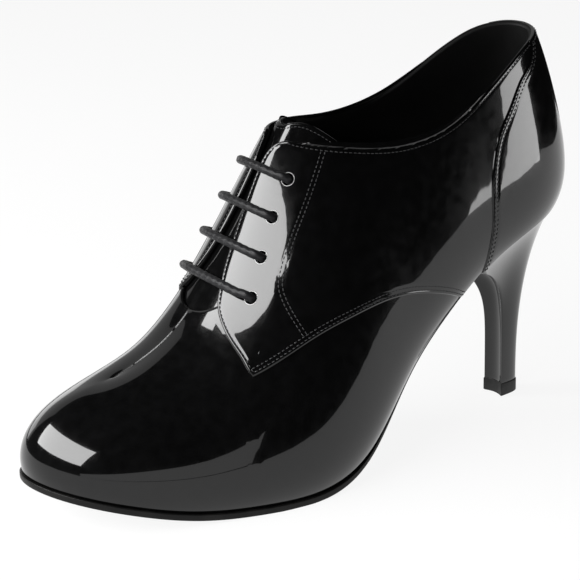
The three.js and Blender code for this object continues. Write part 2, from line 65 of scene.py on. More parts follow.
toward = Vector((
    math.sin(CAMERA_TURN) * math.cos(CAMERA_ELEVATION),
    math.cos(CAMERA_TURN) * math.cos(CAMERA_ELEVATION),
    math.sin(CAMERA_ELEVATION),
))
level = Vector((-math.cos(CAMERA_TURN), math.sin(CAMERA_TURN), 0.0))
upright = toward.cross(level)
right = level * math.cos(CAMERA_ROLL) + upright * math.sin(CAMERA_ROLL)
above = upright * math.cos(CAMERA_ROLL) - level * math.sin(CAMERA_ROLL)
camera_data = bpy.data.cameras.new("camera")
camera_data.lens = 116.247
camera_data.sensor_width = 36.0
camera_data.clip_start = 0.05
camera_data.clip_end = 50.0
camera = bpy.data.objects.new("camera", camera_data)
scene.collection.objects.link(camera)
camera.matrix_world = Matrix((
    (right.x, above.x, toward.x, 0.0),
    (right.y, above.y, toward.y, 0.0),
    (right.z, above.z, toward.z, 0.0),
    (0.0, 0.0, 0.0, 1.0),
))
camera.location = CAMERA_TARGET + toward * CAMERA_DISTANCE
scene.camera = camera
scene.view_settings.view_transform = "Standard"
scene.view_settings.look = "None"

# Studio: a plain white floor that fills the frame, and soft boxes in a dark room.
# Glossy black leather shows only the boxes and a small table top, so these are set out as cards
# that reflections see, and the wide floor is left out of the reflections.
FLOOR_SIZE = 14.0
bpy.ops.object.select_all(action="DESELECT")
bpy.ops.mesh.primitive_plane_add(size=FLOOR_SIZE, location=(0.0, 0.0, 0.0))
floor = bpy.context.object
floor.name = "floor"


def glowing(name, tone, glow):
    paper = bpy.data.materials.new(name)
    paper.use_nodes = True
    surface = paper.node_tree.nodes["Principled BSDF"]
    surface.inputs["Base Color"].default_value = (tone, tone, tone, 1.0)
    surface.inputs["Roughness"].default_value = 0.9
    surface.inputs["Specular IOR Level"].default_value = 0.0
    surface.inputs["Emission Color"].default_value = (1.0, 1.0, 1.0, 1.0)
    surface.inputs["Emission Strength"].default_value = glow
    return paper


floor.data.materials.append(glowing("white_floor", 0.12, 0.90))
floor.visible_glossy = False
floor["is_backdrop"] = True

room = bpy.data.worlds.new("dark_room")
scene.world = room
room.use_nodes = True
room.node_tree.nodes["Background"].inputs["Color"].default_value = (0.004, 0.004, 0.004, 1.0)
room.node_tree.nodes["Background"].inputs["Strength"].default_value = 1.0


def card(name, corners, glow):
    """A flat card that only reflections see."""
    mesh = bpy.data.meshes.new(name)
    mesh.from_pydata(corners, [], [(0, 1, 2, 3)])
    sheet = bpy.data.objects.new(name, mesh)
    scene.collection.objects.link(sheet)
    sheet.data.materials.append(glowing(name + "_paper", 0.0, glow))
    sheet.visible_camera = False
    sheet.visible_diffuse = False
    sheet.visible_shadow = glow == 0.0
    sheet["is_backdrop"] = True


def soft_box(name, aim, turn, elevation, distance, width, height, glow):
    """A soft box seen from aim at a turn from the toe's direction and an elevation, in degrees."""
    lamp = bpy.data.lights.new(name, "AREA")
    lamp.shape = "RECTANGLE"
    lamp.size = width
    lamp.size_y = height
    lamp.energy = math.pi * width * height * glow
    light = bpy.data.objects.new(name, lamp)
    scene.collection.objects.link(light)
    flat = math.cos(math.radians(elevation))
    away = Vector((
        flat * math.cos(math.radians(turn)), flat * math.sin(math.radians(turn)), math.sin(math.radians(elevation)),
    ))
    light.location = Vector(aim) + away * distance
    light.rotation_euler = away.to_track_quat("Z", "Y").to_euler()
    return light


TABLE_GLOW = 0.8
card("table_top", [(-0.9, -0.34, -0.001), (2.5, -0.34, -0.001), (2.5, 0.46, -0.001), (-0.9, 0.46, -0.001)], TABLE_GLOW)
card("front_card", [(0.16, 0.58, 0.0), (1.10, 0.46, 0.0), (1.10, 0.46, 0.085), (0.16, 0.58, 0.15)], TABLE_GLOW)
card("back_card", [(-1.6, -0.9, 0.0), (0.9, -2.2, 0.0), (0.9, -2.2, 2.0), (-1.6, -0.9, 2.0)], 0.35)
card("inner_card", [(-0.15, -0.70, 0.0), (0.35, -0.70, 0.0), (0.35, -0.70, 0.17), (-0.15, -0.70, 0.17)], 1.3)
card("black_flag", [(0.28, -0.115, 0.221), (0.27, 0.16, 0.226), (0.27, 0.16, 0.30), (0.28, -0.115, 0.30)], 0.0)
soft_box("toe_box",(0.19, -0.01, 0.03), -8.0, 36.0, 1.0, 1.42, 0.56, 10.0)
soft_box("heel_box", (0.0, 0.02, 0.11), 144.0, 0.0, 0.8, 0.20, 0.34, 5.0)

# The last: every leather piece below lies on this form, as the real ones are pulled over it.
# Sections run from the heel to the toe. foot is a share of the seat height, top of the instep
# height, the other columns of the ball width, and round is the power of the section's curve.
MM = 0.001
SHOE_LENGTH = 232.0
SEAT_HEIGHT = 81.4
BALL_WIDTH = 77.2
INSTEP_HEIGHT = 107.0
SEAT_OVERHANG = 21.3
RIDGE_SETBACK = 49.3
RIDGE_LENGTH = 146.5
BELLY_HEIGHT = 17.0
WALL = 1.3
QUARTER_LIFT = 0.9
COUNTER_LIFT = 0.6
SEAM_GAP = 0.3
QUARTER_TURN = math.pi / 2

LAST_COLUMNS = ("at", "foot", "shift", "half", "top", "lean", "belly", "round")
LAST = (
    (0.0, 1.000, 0.000, 0.505, 1.682, 0.000, 0.058, 2.18),
    (0.1, 0.926, 0.004, 0.247, 1.650, -0.003, 0.055, 2.26),
    (0.2, 0.822, 0.009, 0.282, 1.617, -0.008, 0.047, 2.30),
    (0.3, 0.651, 0.022, 0.313, 1.555, -0.016, 0.040, 2.20),
    (0.4, 0.418, 0.040, 0.352, 1.420, -0.032, 0.040, 2.10),
    (0.5, 0.150, 0.047, 0.432, 1.243, -0.058, 0.040, 2.05),
    (0.6, 0.040, 0.025, 0.493, 1.005, -0.085, 0.044, 2.00),
    (0.7, 0.035, -0.003, 0.487, 0.744, -0.098, 0.044, 2.00),
    (0.8, 0.057, -0.034, 0.440, 0.553, -0.106, 0.034, 2.05),
    (0.9, 0.124, -0.071, 0.366, 0.463, -0.111, 0.019, 2.15),
    (1.0, 0.204, -0.115, 0.692, 0.418, -0.115, 0.013, 2.25),
)


def spline(places, values):
    """Natural cubic spline, the same curve that the solids are drawn with."""
    x = np.array(places, float)
    y = np.array(values, float)
    gap = np.diff(x)
    system = np.eye(len(x))
    rates = np.zeros(len(x))
    for i in range(1, len(x) - 1):
        system[i, i - 1:i + 2] = gap[i - 1], 2.0 * (gap[i - 1] + gap[i]), gap[i]
        rates[i] = 6.0 * ((y[i + 1] - y[i]) / gap[i] - (y[i] - y[i - 1]) / gap[i - 1])
    bend = np.linalg.solve(system, rates)

    def curve(at):
        i = np.clip(np.searchsorted(x, at) - 1, 0, len(x) - 2)
        a = (x[i + 1] - at) / gap[i]
        b = (at - x[i]) / gap[i]
        cubic = (a ** 3 - a) * bend[i] + (b ** 3 - b) * bend[i + 1]
        return a * y[i] + b * y[i + 1] + cubic * gap[i] ** 2 / 6.0

    return curve


last_rows = {name: [row[i] for row in LAST] for i, name in enumerate(LAST_COLUMNS)}
for i, at in enumerate(last_rows["at"]):
    sine = 2.0 * math.sqrt(at * (1.0 - at))
    if sine > 0.0:
        last_rows["half"][i] /= sine
section = {name: spline(last_rows["at"], last_rows[name]) for name in LAST_COLUMNS[1:]}

# Along the ridge the two sides are eased into each other, and the forepart is crowned by a little:
# distance along the shoe and height of the crown, both in millimetres.
RIDGE_EASE = 0.35
RIDGE_EASE_TURN = 0.6
CROWN_ROWS = (
    (100.0, 0.0), (112.0, 0.0), (120.0, 0.5), (130.0, 1.8), (140.0, 2.9), (150.0, 2.8),
    (160.0, 2.2), (170.0, 1.5), (180.0, 0.7), (190.0, 0.15), (200.0, 0.0),
)
CROWN_MIDDLE = -7.6
CROWN_WIDTH = 12.0
crown_height = spline([row[0] for row in CROWN_ROWS], [row[1] for row in CROWN_ROWS])


def foot_point(turn, grow=0.0):
    """The foot line: turn 0 is the toe, a half turn the heel, and the outer side comes first."""
    turn = np.asarray(turn, float)
    at = (1.0 + np.cos(turn)) / 2.0
    x = SHOE_LENGTH * at - SEAT_OVERHANG
    y = BALL_WIDTH * (section["shift"](at) + section["half"](at) * np.sin(turn))
    z = SEAT_HEIGHT * section["foot"](at)
    point = np.stack([x, y, z], -1)
    if np.any(grow):
        along = foot_point(turn + 0.01) - foot_point(turn - 0.01)
        along[..., 2] = 0.0
        along /= np.linalg.norm(along, axis=-1, keepdims=True)
        point[..., 0] += along[..., 1] * grow
        point[..., 1] -= along[..., 0] * grow
    return point


def last_point(turn, rise):
    """The last's surface: rise is 0 at the foot line and a quarter turn at the ridge of the instep."""
    turn, rise = np.broadcast_arrays(np.asarray(turn, float), np.asarray(rise, float))
    over = rise > QUARTER_TURN
    turn = np.where(over, -turn, turn)
    rise = np.where(over, math.pi - rise, rise)
    at = (1.0 + np.cos(turn)) / 2.0
    foot = foot_point(turn)
    ridge_x = RIDGE_SETBACK - SEAT_OVERHANG + RIDGE_LENGTH * at
    ridge_y = BALL_WIDTH * section["lean"](at)
    ridge_z = INSTEP_HEIGHT * section["top"](at)
    power = 2.0 / section["round"](at)
    up = np.sin(np.maximum(rise, 0.0)) ** power
    inward = 1.0 - np.maximum(np.cos(rise), 0.0) ** power
    reach = np.hypot(ridge_x - foot[..., 0], ridge_y - foot[..., 1])
    height = up * (ridge_z - foot[..., 2]) / BELLY_HEIGHT
    bulge = BALL_WIDTH * section["belly"](at) * height * np.exp(1.0 - height)
    share = inward - bulge / np.maximum(reach, 2.0) * (1.0 - inward)
    left_over = 1.0 - share
    near_end = np.clip(np.abs(turn) / RIDGE_EASE_TURN, 0.0, 1.0)
    forward = np.clip((at - 0.3) / 0.2, 0.0, 1.0)
    ease = RIDGE_EASE * near_end ** 2 * (3.0 - 2.0 * near_end) * forward ** 2 * (3.0 - 2.0 * forward)
    eased = left_over * np.abs(left_over) * (1.0 + ease) / (np.abs(left_over) + ease + 1e-12)
    x = ridge_x + (foot[..., 0] - ridge_x) * eased
    y = foot[..., 1] + (ridge_y - foot[..., 1]) * share
    z = foot[..., 2] + (ridge_z - foot[..., 2]) * up
    inside = (x > CROWN_ROWS[0][0]) & (x < CROWN_ROWS[-1][0])
    crown = np.where(inside, crown_height(np.clip(x, CROWN_ROWS[0][0], CROWN_ROWS[-1][0])), 0.0)
    return np.stack([x, y, z + crown * np.exp(-((y - CROWN_MIDDLE) / CROWN_WIDTH) ** 2)], -1)


def last_normal(turn, rise):
    turn, rise = np.broadcast_arrays(np.asarray(turn, float), np.asarray(rise, float))
    step = 0.004
    low = np.maximum(rise, 0.02)
    normal = np.cross(
        last_point(turn + step, low) - last_point(turn - step, low),
        last_point(turn, low + step) - last_point(turn, low - step),
    )
    size = np.linalg.norm(normal, axis=-1, keepdims=True)
    if np.any(size < 1e-7):
        near = np.where(np.cos(turn) > 0.0, 0.12, math.pi - 0.12)
        spare = np.cross(
            last_point(near + step, low) - last_point(near - step, low),
            last_point(near, low + step) - last_point(near, low - step),
        )
        spare[..., 1] = 0.0
        normal = np.where(size < 1e-7, spare, normal)
        size = np.linalg.norm(normal, axis=-1, keepdims=True)
    return normal / size


def on_surface(turn, rise, lift=0.0):
    lift = np.asarray(lift, float)
    return last_point(turn, rise) + last_normal(turn, rise) * lift[..., None]


# Outsole: a cut leather sole from the toe to the front of the heel, stained and waxed black.
# Its edge is trimmed square and rounded off, 3 mm thick under the toes and thin through the waist.
BREAST_AT = 0.232
SOLE_EDGE = 2.8
SOLE_WAIST = 1.6
SOLE_RIM = 0.9
BREAST_TURN = math.acos(2.0 * BREAST_AT - 1.0)


def sole_edge(turn, inward, down):
    """A point round the sole's edge, inward from its rim and down by a share of its thickness."""
    at = (1.0 + np.cos(turn)) / 2.0
    ease = np.clip((at - 0.36) / 0.24, 0.0, 1.0)
    fore = ease * ease * (3.0 - 2.0 * ease)
    point = foot_point(turn, SOLE_RIM * fore - 0.4 * (1.0 - fore) - inward)
    thickness = SOLE_WAIST + (SOLE_EDGE - SOLE_WAIST) * fore
    point[..., 2] = np.maximum(point[..., 2] - SEAM_GAP - down * (thickness - SEAM_GAP), 0.0)
    return point


def build_mesh(name, points, faces, smooth=True, marks=None):
    """A closed mesh from points in millimetres, its doubles merged and its faces turned outwards."""
    mesh = bpy.data.meshes.new(name)
    mesh.from_pydata((np.asarray(points) * MM).tolist(), [], faces)
    if marks is not None:
        mesh.polygons.foreach_set("material_index", marks)
    form = bmesh.new()
    form.from_mesh(mesh)
    bmesh.ops.remove_doubles(form, verts=form.verts, dist=1e-5)
    bmesh.ops.dissolve_degenerate(form, edges=form.edges, dist=1e-7)
    walls = {}
    for face in form.faces:
        walls.setdefault(frozenset(face.verts), []).append(face)
    doubled = [face for same in walls.values() if len(same) > 1 for face in same]
    bmesh.ops.delete(form, geom=doubled, context="FACES")
    if form.calc_volume(signed=True) < 0.0:
        bmesh.ops.reverse_faces(form, faces=form.faces)
    form.to_mesh(mesh)
    form.free()
    piece = bpy.data.objects.new(name, mesh)
    scene.collection.objects.link(piece)
    if smooth:
        mesh.polygons.foreach_set("use_smooth", [True] * len(mesh.polygons))
    return piece


def through_rings(name, rings, close_start=True):
    """A skin through closed rings of equal length, closed by a flat face at its ends."""
    count = len(rings[0])
    faces = []
    for level in range(len(rings) - 1):
        for i in range(count):
            a, b = level * count + i, level * count + (i + 1) % count
            faces.append((a, b, b + count, a + count))
    if close_start:
        faces.append(tuple(range(count))[::-1])
    faces.append(tuple(range((len(rings) - 1) * count, len(rings) * count)))
    return build_mesh(name, np.concatenate(rings), faces)


def finish_edges(piece, width, segments, angle):
    """Round the sharp edges and shade the rest smooth."""
    bpy.ops.object.select_all(action="DESELECT")
    piece.select_set(True)
    bpy.context.view_layer.objects.active = piece
    bevel = piece.modifiers.new("edges", "BEVEL")
    bevel.width = width * MM
    bevel.segments = segments
    bevel.limit_method = "ANGLE"
    bevel.angle_limit = math.radians(angle)
    bpy.ops.object.modifier_apply(modifier="edges")
    bpy.ops.object.shade_smooth_by_angle(angle=math.radians(40.0))


SOLE_PROFILE = (
    (0.35, 0.00), (0.12, 0.02), (0.02, 0.07), (0.00, 0.16), (0.00, 0.50), (0.00, 0.72),
    (0.05, 0.86), (0.18, 0.95), (0.40, 0.99), (0.75, 1.00),
)
sole_turns = np.concatenate([np.linspace(0.0, 0.2, 14)[:-1], np.linspace(0.2, BREAST_TURN, 150)])
sole_rings = []
ACROSS_SOLE = 10
for turn in sole_turns:
    left = [sole_edge(turn, inward, down) for inward, down in SOLE_PROFILE]
    right_edge = [sole_edge(-turn, inward, down) for inward, down in SOLE_PROFILE]
    shares = np.linspace(0.0, 1.0, ACROSS_SOLE + 1)[1:-1]
    under = [left[-1] + (right_edge[-1] - left[-1]) * share for share in shares]
    over = [right_edge[0] + (left[0] - right_edge[0]) * share for share in shares]
    sole_rings.append(np.array(left + under + right_edge[::-1] + over))
outsole = through_rings("outsole_leather", sole_rings, close_start=False)
bpy.ops.object.select_all(action="DESELECT")
outsole.select_set(True)
bpy.context.view_layer.objects.active = outsole
bpy.ops.object.shade_smooth_by_angle(angle=math.radians(50.0))


def waxed_sole():
    """Black stained sole leather, lightly brushed and scuffed at random all over."""
    material = bpy.data.materials.new("waxed_sole")
    material.use_nodes = True
    nodes, links = material.node_tree.nodes, material.node_tree.links
    leather = nodes["Principled BSDF"]
    place = nodes.new("ShaderNodeTexCoord")
    fibre = nodes.new("ShaderNodeTexNoise")
    fibre.inputs["Scale"].default_value = 1400.0
    fibre.inputs["Detail"].default_value = 3.0
    scuff = nodes.new("ShaderNodeTexNoise")
    scuff.inputs["Scale"].default_value = 90.0
    scuff.inputs["Detail"].default_value = 8.0
    scuff.inputs["Roughness"].default_value = 0.7
    for texture in (fibre, scuff):
        links.new(place.outputs["Object"], texture.inputs["Vector"])
    stain = nodes.new("ShaderNodeValToRGB")
    stain.color_ramp.elements[0].position = 0.4
    stain.color_ramp.elements[0].color = (0.006, 0.006, 0.006, 1.0)
    stain.color_ramp.elements[1].position = 0.8
    stain.color_ramp.elements[1].color = (0.016, 0.015, 0.014, 1.0)
    links.new(scuff.outputs["Fac"], stain.inputs["Fac"])
    links.new(stain.outputs["Color"], leather.inputs["Base Color"])
    polish = nodes.new("ShaderNodeMapRange")
    polish.inputs["To Min"].default_value = 0.28
    polish.inputs["To Max"].default_value = 0.5
    links.new(scuff.outputs["Fac"], polish.inputs["Value"])
    links.new(polish.outputs["Result"], leather.inputs["Roughness"])
    grain = nodes.new("ShaderNodeBump")
    grain.inputs["Strength"].default_value = 0.25
    grain.inputs["Distance"].default_value = 0.0001
    links.new(fibre.outputs["Fac"], grain.inputs["Height"])
    links.new(grain.outputs["Normal"], leather.inputs["Normal"])
    leather.inputs["Specular IOR Level"].default_value = 0.2
    return material


outsole.data.materials.append(waxed_sole())
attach(outsole, "root")
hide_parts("outsole")

# Patent leather: dyed black hide under a thick clear film. The film is smooth with a faint
# orange-peel swell, and is pulled in a little along its stitched rows.
def patent_leather(name, tone, swell, pebble):
    material = bpy.data.materials.new(name)
    material.use_nodes = True
    nodes, links = material.node_tree.nodes, material.node_tree.links
    film = nodes["Principled BSDF"]
    place = nodes.new("ShaderNodeTexCoord")
    wide = nodes.new("ShaderNodeTexNoise")
    wide.inputs["Scale"].default_value = 55.0
    wide.inputs["Detail"].default_value = 2.0
    fine = nodes.new("ShaderNodeTexNoise")
    fine.inputs["Scale"].default_value = 900.0
    fine.inputs["Detail"].default_value = 1.0
    dust = nodes.new("ShaderNodeTexNoise")
    dust.inputs["Scale"].default_value = 240.0
    dust.inputs["Detail"].default_value = 6.0
    for texture in (wide, fine, dust):
        links.new(place.outputs["Object"], texture.inputs["Vector"])
    wide_bump = nodes.new("ShaderNodeBump")
    wide_bump.inputs["Strength"].default_value = swell
    wide_bump.inputs["Distance"].default_value = 0.0012
    fine_bump = nodes.new("ShaderNodeBump")
    fine_bump.inputs["Strength"].default_value = pebble
    fine_bump.inputs["Distance"].default_value = 0.0001
    links.new(wide.outputs["Fac"], wide_bump.inputs["Height"])
    links.new(fine.outputs["Fac"], fine_bump.inputs["Height"])
    links.new(wide_bump.outputs["Normal"], fine_bump.inputs["Normal"])
    links.new(fine_bump.outputs["Normal"], film.inputs["Normal"])
    links.new(wide_bump.outputs["Normal"], film.inputs["Coat Normal"])
    colour = nodes.new("ShaderNodeValToRGB")
    colour.color_ramp.elements[0].position = 0.35
    colour.color_ramp.elements[0].color = (tone * 0.8, tone * 0.8, tone * 0.82, 1.0)
    colour.color_ramp.elements[1].position = 0.75
    colour.color_ramp.elements[1].color = (tone * 1.3, tone * 1.3, tone * 1.35, 1.0)
    links.new(dust.outputs["Fac"], colour.inputs["Fac"])
    links.new(colour.outputs["Color"], film.inputs["Base Color"])
    haze = nodes.new("ShaderNodeMapRange")
    haze.inputs["From Min"].default_value = 0.3
    haze.inputs["From Max"].default_value = 0.8
    haze.inputs["To Min"].default_value = 0.10
    haze.inputs["To Max"].default_value = 0.20
    links.new(dust.outputs["Fac"], haze.inputs["Value"])
    links.new(haze.outputs["Result"], film.inputs["Roughness"])
    film.inputs["IOR"].default_value = 1.5
    film.inputs["Coat Weight"].default_value = 1.0
    film.inputs["Coat Roughness"].default_value = 0.025
    film.inputs["Coat IOR"].default_value = 1.5
    film.inputs["Specular IOR Level"].default_value = 0.1
    return material


patent = patent_leather("black_patent", 0.003, 0.05, 0.05)

# Heel: a slim block wrapped in the upper's patent leather, D-shaped in section.
# The wrap meets itself at the breast, whose face is hollowed, and it is drawn in under the seat.
TIP_THICKNESS = 5.5
TIP_LENGTH = 10.6
TIP_WIDTH = 10.2
TIP_BACK = 6.7
HEEL_BACK_POWER = 2.15
HEEL_CORNER_POWER = 6.0
HEEL_BREAST_POWER = 9.0
BREAST_HOLLOW = 1.2
HEEL_SIDE_STEPS = 44
HEEL_BREAST_STEPS = 20


def heel_ring(drop):
    """A section of the heel, from the left breast corner round the back and across the breast."""
    def fall(power):
        return 1.0 - (1.0 - drop) ** power

    tip_front = TIP_LENGTH - TIP_BACK

    def place(turn, share):
        seat = foot_point(turn, 0.5)
        seat[2] -= SEAM_GAP
        angle = share * math.pi / 2.0
        hand = 1.0 if math.sin(turn) >= 0.0 else -1.0
        tip_x = tip_front - TIP_LENGTH * math.sin(angle)
        tip_y = hand * TIP_WIDTH / 2.0 * max(math.cos(angle), 0.0) ** 0.6
        power = HEEL_CORNER_POWER + (HEEL_BACK_POWER - HEEL_CORNER_POWER) * share ** 0.55
        return np.array([
            seat[0] + (tip_x - seat[0]) * fall(power),
            seat[1] + (tip_y - seat[1]) * fall(power),
            seat[2] + (TIP_THICKNESS - seat[2]) * drop,
        ])

    shares = 1.0 - (1.0 - np.linspace(0.0, 1.0, HEEL_SIDE_STEPS + 1)) ** 1.25
    ring = [place(BREAST_TURN + (math.pi - BREAST_TURN) * share, share) for share in shares]
    ring += [place(2.0 * math.pi - BREAST_TURN - (math.pi - BREAST_TURN) * share, share) for share in shares[-2::-1]]
    seat_x = foot_point(BREAST_TURN, 0.5)[0]
    middle = seat_x + (tip_front - seat_x) * fall(HEEL_BREAST_POWER)
    hollow = ring[0][0] - middle + BREAST_HOLLOW * min(drop * 6.0, 1.0)
    low, high = ring[-1], ring[0]
    for i in range(1, HEEL_BREAST_STEPS):
        share = i / HEEL_BREAST_STEPS
        point = low + (high - low) * share
        point[0] -= hollow * (1.0 - (2.0 * share - 1.0) ** 2)
        ring.append(point)
    return np.array(ring)


heel_drops = np.linspace(0.0, 1.0, 70) ** 1.5
heel = through_rings("heel_wrap", [heel_ring(drop) for drop in heel_drops])
finish_edges(heel, 0.55, 3, 42.0)
heel.data.materials.append(patent)
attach(heel, "root")
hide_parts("heel")

# Heel tip: a moulded top piece of hard black rubber, pinned under the heel and a little larger than it.
TIP_RIM = 0.3
TIP_PROFILE = ((0.0, -0.35), (0.12, -0.12), (0.35, TIP_RIM), (4.9, TIP_RIM), (5.3, 0.15), (TIP_THICKNESS, -0.1))
tip_outline = heel_ring(1.0)
tip_centre = np.array([TIP_LENGTH / 2.0 - TIP_BACK, 0.0, 0.0])
tip_rings = []
for height, rim in TIP_PROFILE:
    out = (tip_outline - tip_centre) * (1.0, 1.0, 0.0)
    ring = tip_outline + out / np.linalg.norm(out, axis=1, keepdims=True) * rim
    ring[:, 2] = height
    tip_rings.append(ring)
heel_tip = through_rings("heel_top_piece", tip_rings)
finish_edges(heel_tip, 0.12, 2, 50.0)


def hard_rubber():
    """Dense black rubber with a fine moulded grain and faint random dusty patches."""
    material = bpy.data.materials.new("hard_rubber")
    material.use_nodes = True
    nodes, links = material.node_tree.nodes, material.node_tree.links
    rubber = nodes["Principled BSDF"]
    place = nodes.new("ShaderNodeTexCoord")
    grain = nodes.new("ShaderNodeTexNoise")
    grain.inputs["Scale"].default_value = 2200.0
    grain.inputs["Detail"].default_value = 2.0
    dust = nodes.new("ShaderNodeTexNoise")
    dust.inputs["Scale"].default_value = 300.0
    dust.inputs["Detail"].default_value = 6.0
    for texture in (grain, dust):
        links.new(place.outputs["Object"], texture.inputs["Vector"])
    shade = nodes.new("ShaderNodeValToRGB")
    shade.color_ramp.elements[0].position = 0.4
    shade.color_ramp.elements[0].color = (0.008, 0.008, 0.008, 1.0)
    shade.color_ramp.elements[1].position = 0.75
    shade.color_ramp.elements[1].color = (0.020, 0.020, 0.020, 1.0)
    links.new(dust.outputs["Fac"], shade.inputs["Fac"])
    links.new(shade.outputs["Color"], rubber.inputs["Base Color"])
    bump = nodes.new("ShaderNodeBump")
    bump.inputs["Strength"].default_value = 0.3
    bump.inputs["Distance"].default_value = 0.0001
    links.new(grain.outputs["Fac"], bump.inputs["Height"])
    links.new(bump.outputs["Normal"], rubber.inputs["Normal"])
    rubber.inputs["Roughness"].default_value = 0.55
    rubber.inputs["Specular IOR Level"].default_value = 0.35
    return material


heel_tip.data.materials.append(hard_rubber())
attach(heel_tip, "root")
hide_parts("heel_tip")

# Insole: the board and its thin black leather sock, glued down inside the shoe. The solid is the piece.
def dull_lining(name, tone, scale):
    """Thin black lining leather, dull and evenly pored."""
    material = bpy.data.materials.new(name)
    material.use_nodes = True
    nodes, links = material.node_tree.nodes, material.node_tree.links
    leather = nodes["Principled BSDF"]
    place = nodes.new("ShaderNodeTexCoord")
    pores = nodes.new("ShaderNodeTexVoronoi")
    pores.inputs["Scale"].default_value = scale
    cloud = nodes.new("ShaderNodeTexNoise")
    cloud.inputs["Scale"].default_value = 60.0
    cloud.inputs["Detail"].default_value = 5.0
    for texture in (pores, cloud):
        links.new(place.outputs["Object"], texture.inputs["Vector"])
    shade = nodes.new("ShaderNodeValToRGB")
    shade.color_ramp.elements[0].position = 0.3
    shade.color_ramp.elements[0].color = (tone * 0.7, tone * 0.7, tone * 0.7, 1.0)
    shade.color_ramp.elements[1].position = 0.8
    shade.color_ramp.elements[1].color = (tone * 1.4, tone * 1.4, tone * 1.4, 1.0)
    links.new(cloud.outputs["Fac"], shade.inputs["Fac"])
    links.new(shade.outputs["Color"], leather.inputs["Base Color"])
    bump = nodes.new("ShaderNodeBump")
    bump.inputs["Strength"].default_value = 0.35
    bump.inputs["Distance"].default_value = 0.0001
    links.new(pores.outputs["Distance"], bump.inputs["Height"])
    links.new(bump.outputs["Normal"], leather.inputs["Normal"])
    leather.inputs["Roughness"].default_value = 0.62
    leather.inputs["Specular IOR Level"].default_value = 0.3
    return material


lining_leather = dull_lining("lining_leather", 0.010, 1500.0)
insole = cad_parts["insole"]
insole.data.materials.clear()
insole.data.materials.append(lining_leather)

# Lines of the pattern, each drawn where a maker would draw it: across the throat, or seen from the side.
THROAT_TILT = math.radians(30.0)
THROAT_TURN = math.radians(2.4)
THROAT_SHIFT = -7.2
TOPLINE_DROP = 0.15
facing = Vector((math.cos(THROAT_TILT), 0.0, math.sin(THROAT_TILT)))
throat_turn = Matrix.Rotation(-THROAT_TURN, 3, facing)
THROAT_ACROSS = np.array(throat_turn @ Vector((0.0, 1.0, 0.0)))
THROAT_UP = np.array(throat_turn @ Vector((-math.sin(THROAT_TILT), 0.0, math.cos(THROAT_TILT))))


def throat_view(point):
    shifted = point - np.array([0.0, THROAT_SHIFT, 0.0])
    return np.stack([shifted @ THROAT_ACROSS, shifted @ THROAT_UP], -1)


def side_view(point):
    return point[..., [0, 2]]


def topline_view(point):
    return np.stack([point[..., 0], point[..., 2] + TOPLINE_DROP * point[..., 1]], -1)


# EYESTAY_EDGE, the corners and VAMP_EDGE: distance across the throat and up the instep, shares of the
# ball width. The side lines: distance along the shoe and height, shares of its length and seat height.
EYESTAY_EDGE = (
    (0.900, -0.480), (0.490, -0.345), (0.433, -0.302), (0.380, -0.268), (0.313, -0.232),
    (0.249, -0.193), (0.196, -0.155), (0.152, -0.108), (0.122, -0.050), (0.091, 0.025),
    (0.067, 0.110), (0.050, 0.200), (0.036, 0.310), (0.026, 0.430), (0.021, 0.530),
)
OUTER_CORNER = ((0.026, 0.600), (0.052, 0.655), (0.101, 0.693), (0.177, 0.723), (0.230, 0.760), (0.262, 0.840))
INNER_CORNER = (
    (0.024, 0.600), (0.030, 0.660), (0.048, 0.712), (0.080, 0.750), (0.120, 0.780), (0.150, 0.850),
)
VAMP_EDGE = ((0.000, -0.200), (0.060, -0.188), (0.120, -0.158), (0.172, -0.112))
TOPLINE = (
    (-0.100, 1.868), (-0.039, 1.847), (-0.013, 1.829), (0.013, 1.806), (0.043, 1.767),
    (0.086, 1.699), (0.129, 1.627), (0.172, 1.564), (0.216, 1.522), (0.259, 1.500),
    (0.302, 1.493), (0.345, 1.500), (0.388, 1.514), (0.431, 1.523), (0.458, 1.524),
)
QUARTER_SEAM = (
    (0.660, 0.560), (0.601, 0.612), (0.513, 0.724), (0.444, 0.781), (0.348, 0.811),
    (0.258, 0.769), (0.196, 0.701), (0.140, 0.600),
)
COUNTER_SEAM = (
    (-0.010, 1.920), (-0.004, 1.776), (0.010, 1.700), (0.036, 1.640), (0.066, 1.532),
    (0.096, 1.419), (0.111, 1.316), (0.120, 1.179), (0.122, 1.007), (0.128, 0.916),
    (0.133, 0.845), (0.139, 0.740),
)


def smooth_line(rows, scale_x, scale_y, count):
    """A smooth curve through the rows, its points evenly spaced along it."""
    knots = np.array(rows, float) * (scale_x, scale_y)
    steps = np.concatenate([[0.0], np.cumsum(np.sqrt(np.linalg.norm(np.diff(knots, axis=0), axis=1)))])
    fine = np.linspace(0.0, steps[-1], 40 * len(rows))
    points = np.stack([spline(steps, knots[:, i])(fine) for i in range(2)], -1)
    return resample(points, count)


def resample(points, count):
    if np.isscalar(count):
        count = np.linspace(0.0, 1.0, count)
    along = np.concatenate([[0.0], np.cumsum(np.linalg.norm(np.diff(points, axis=0), axis=1))])
    wanted = np.asarray(count) * along[-1]
    return np.stack([np.interp(wanted, along, points[:, i]) for i in range(points.shape[1])], -1)


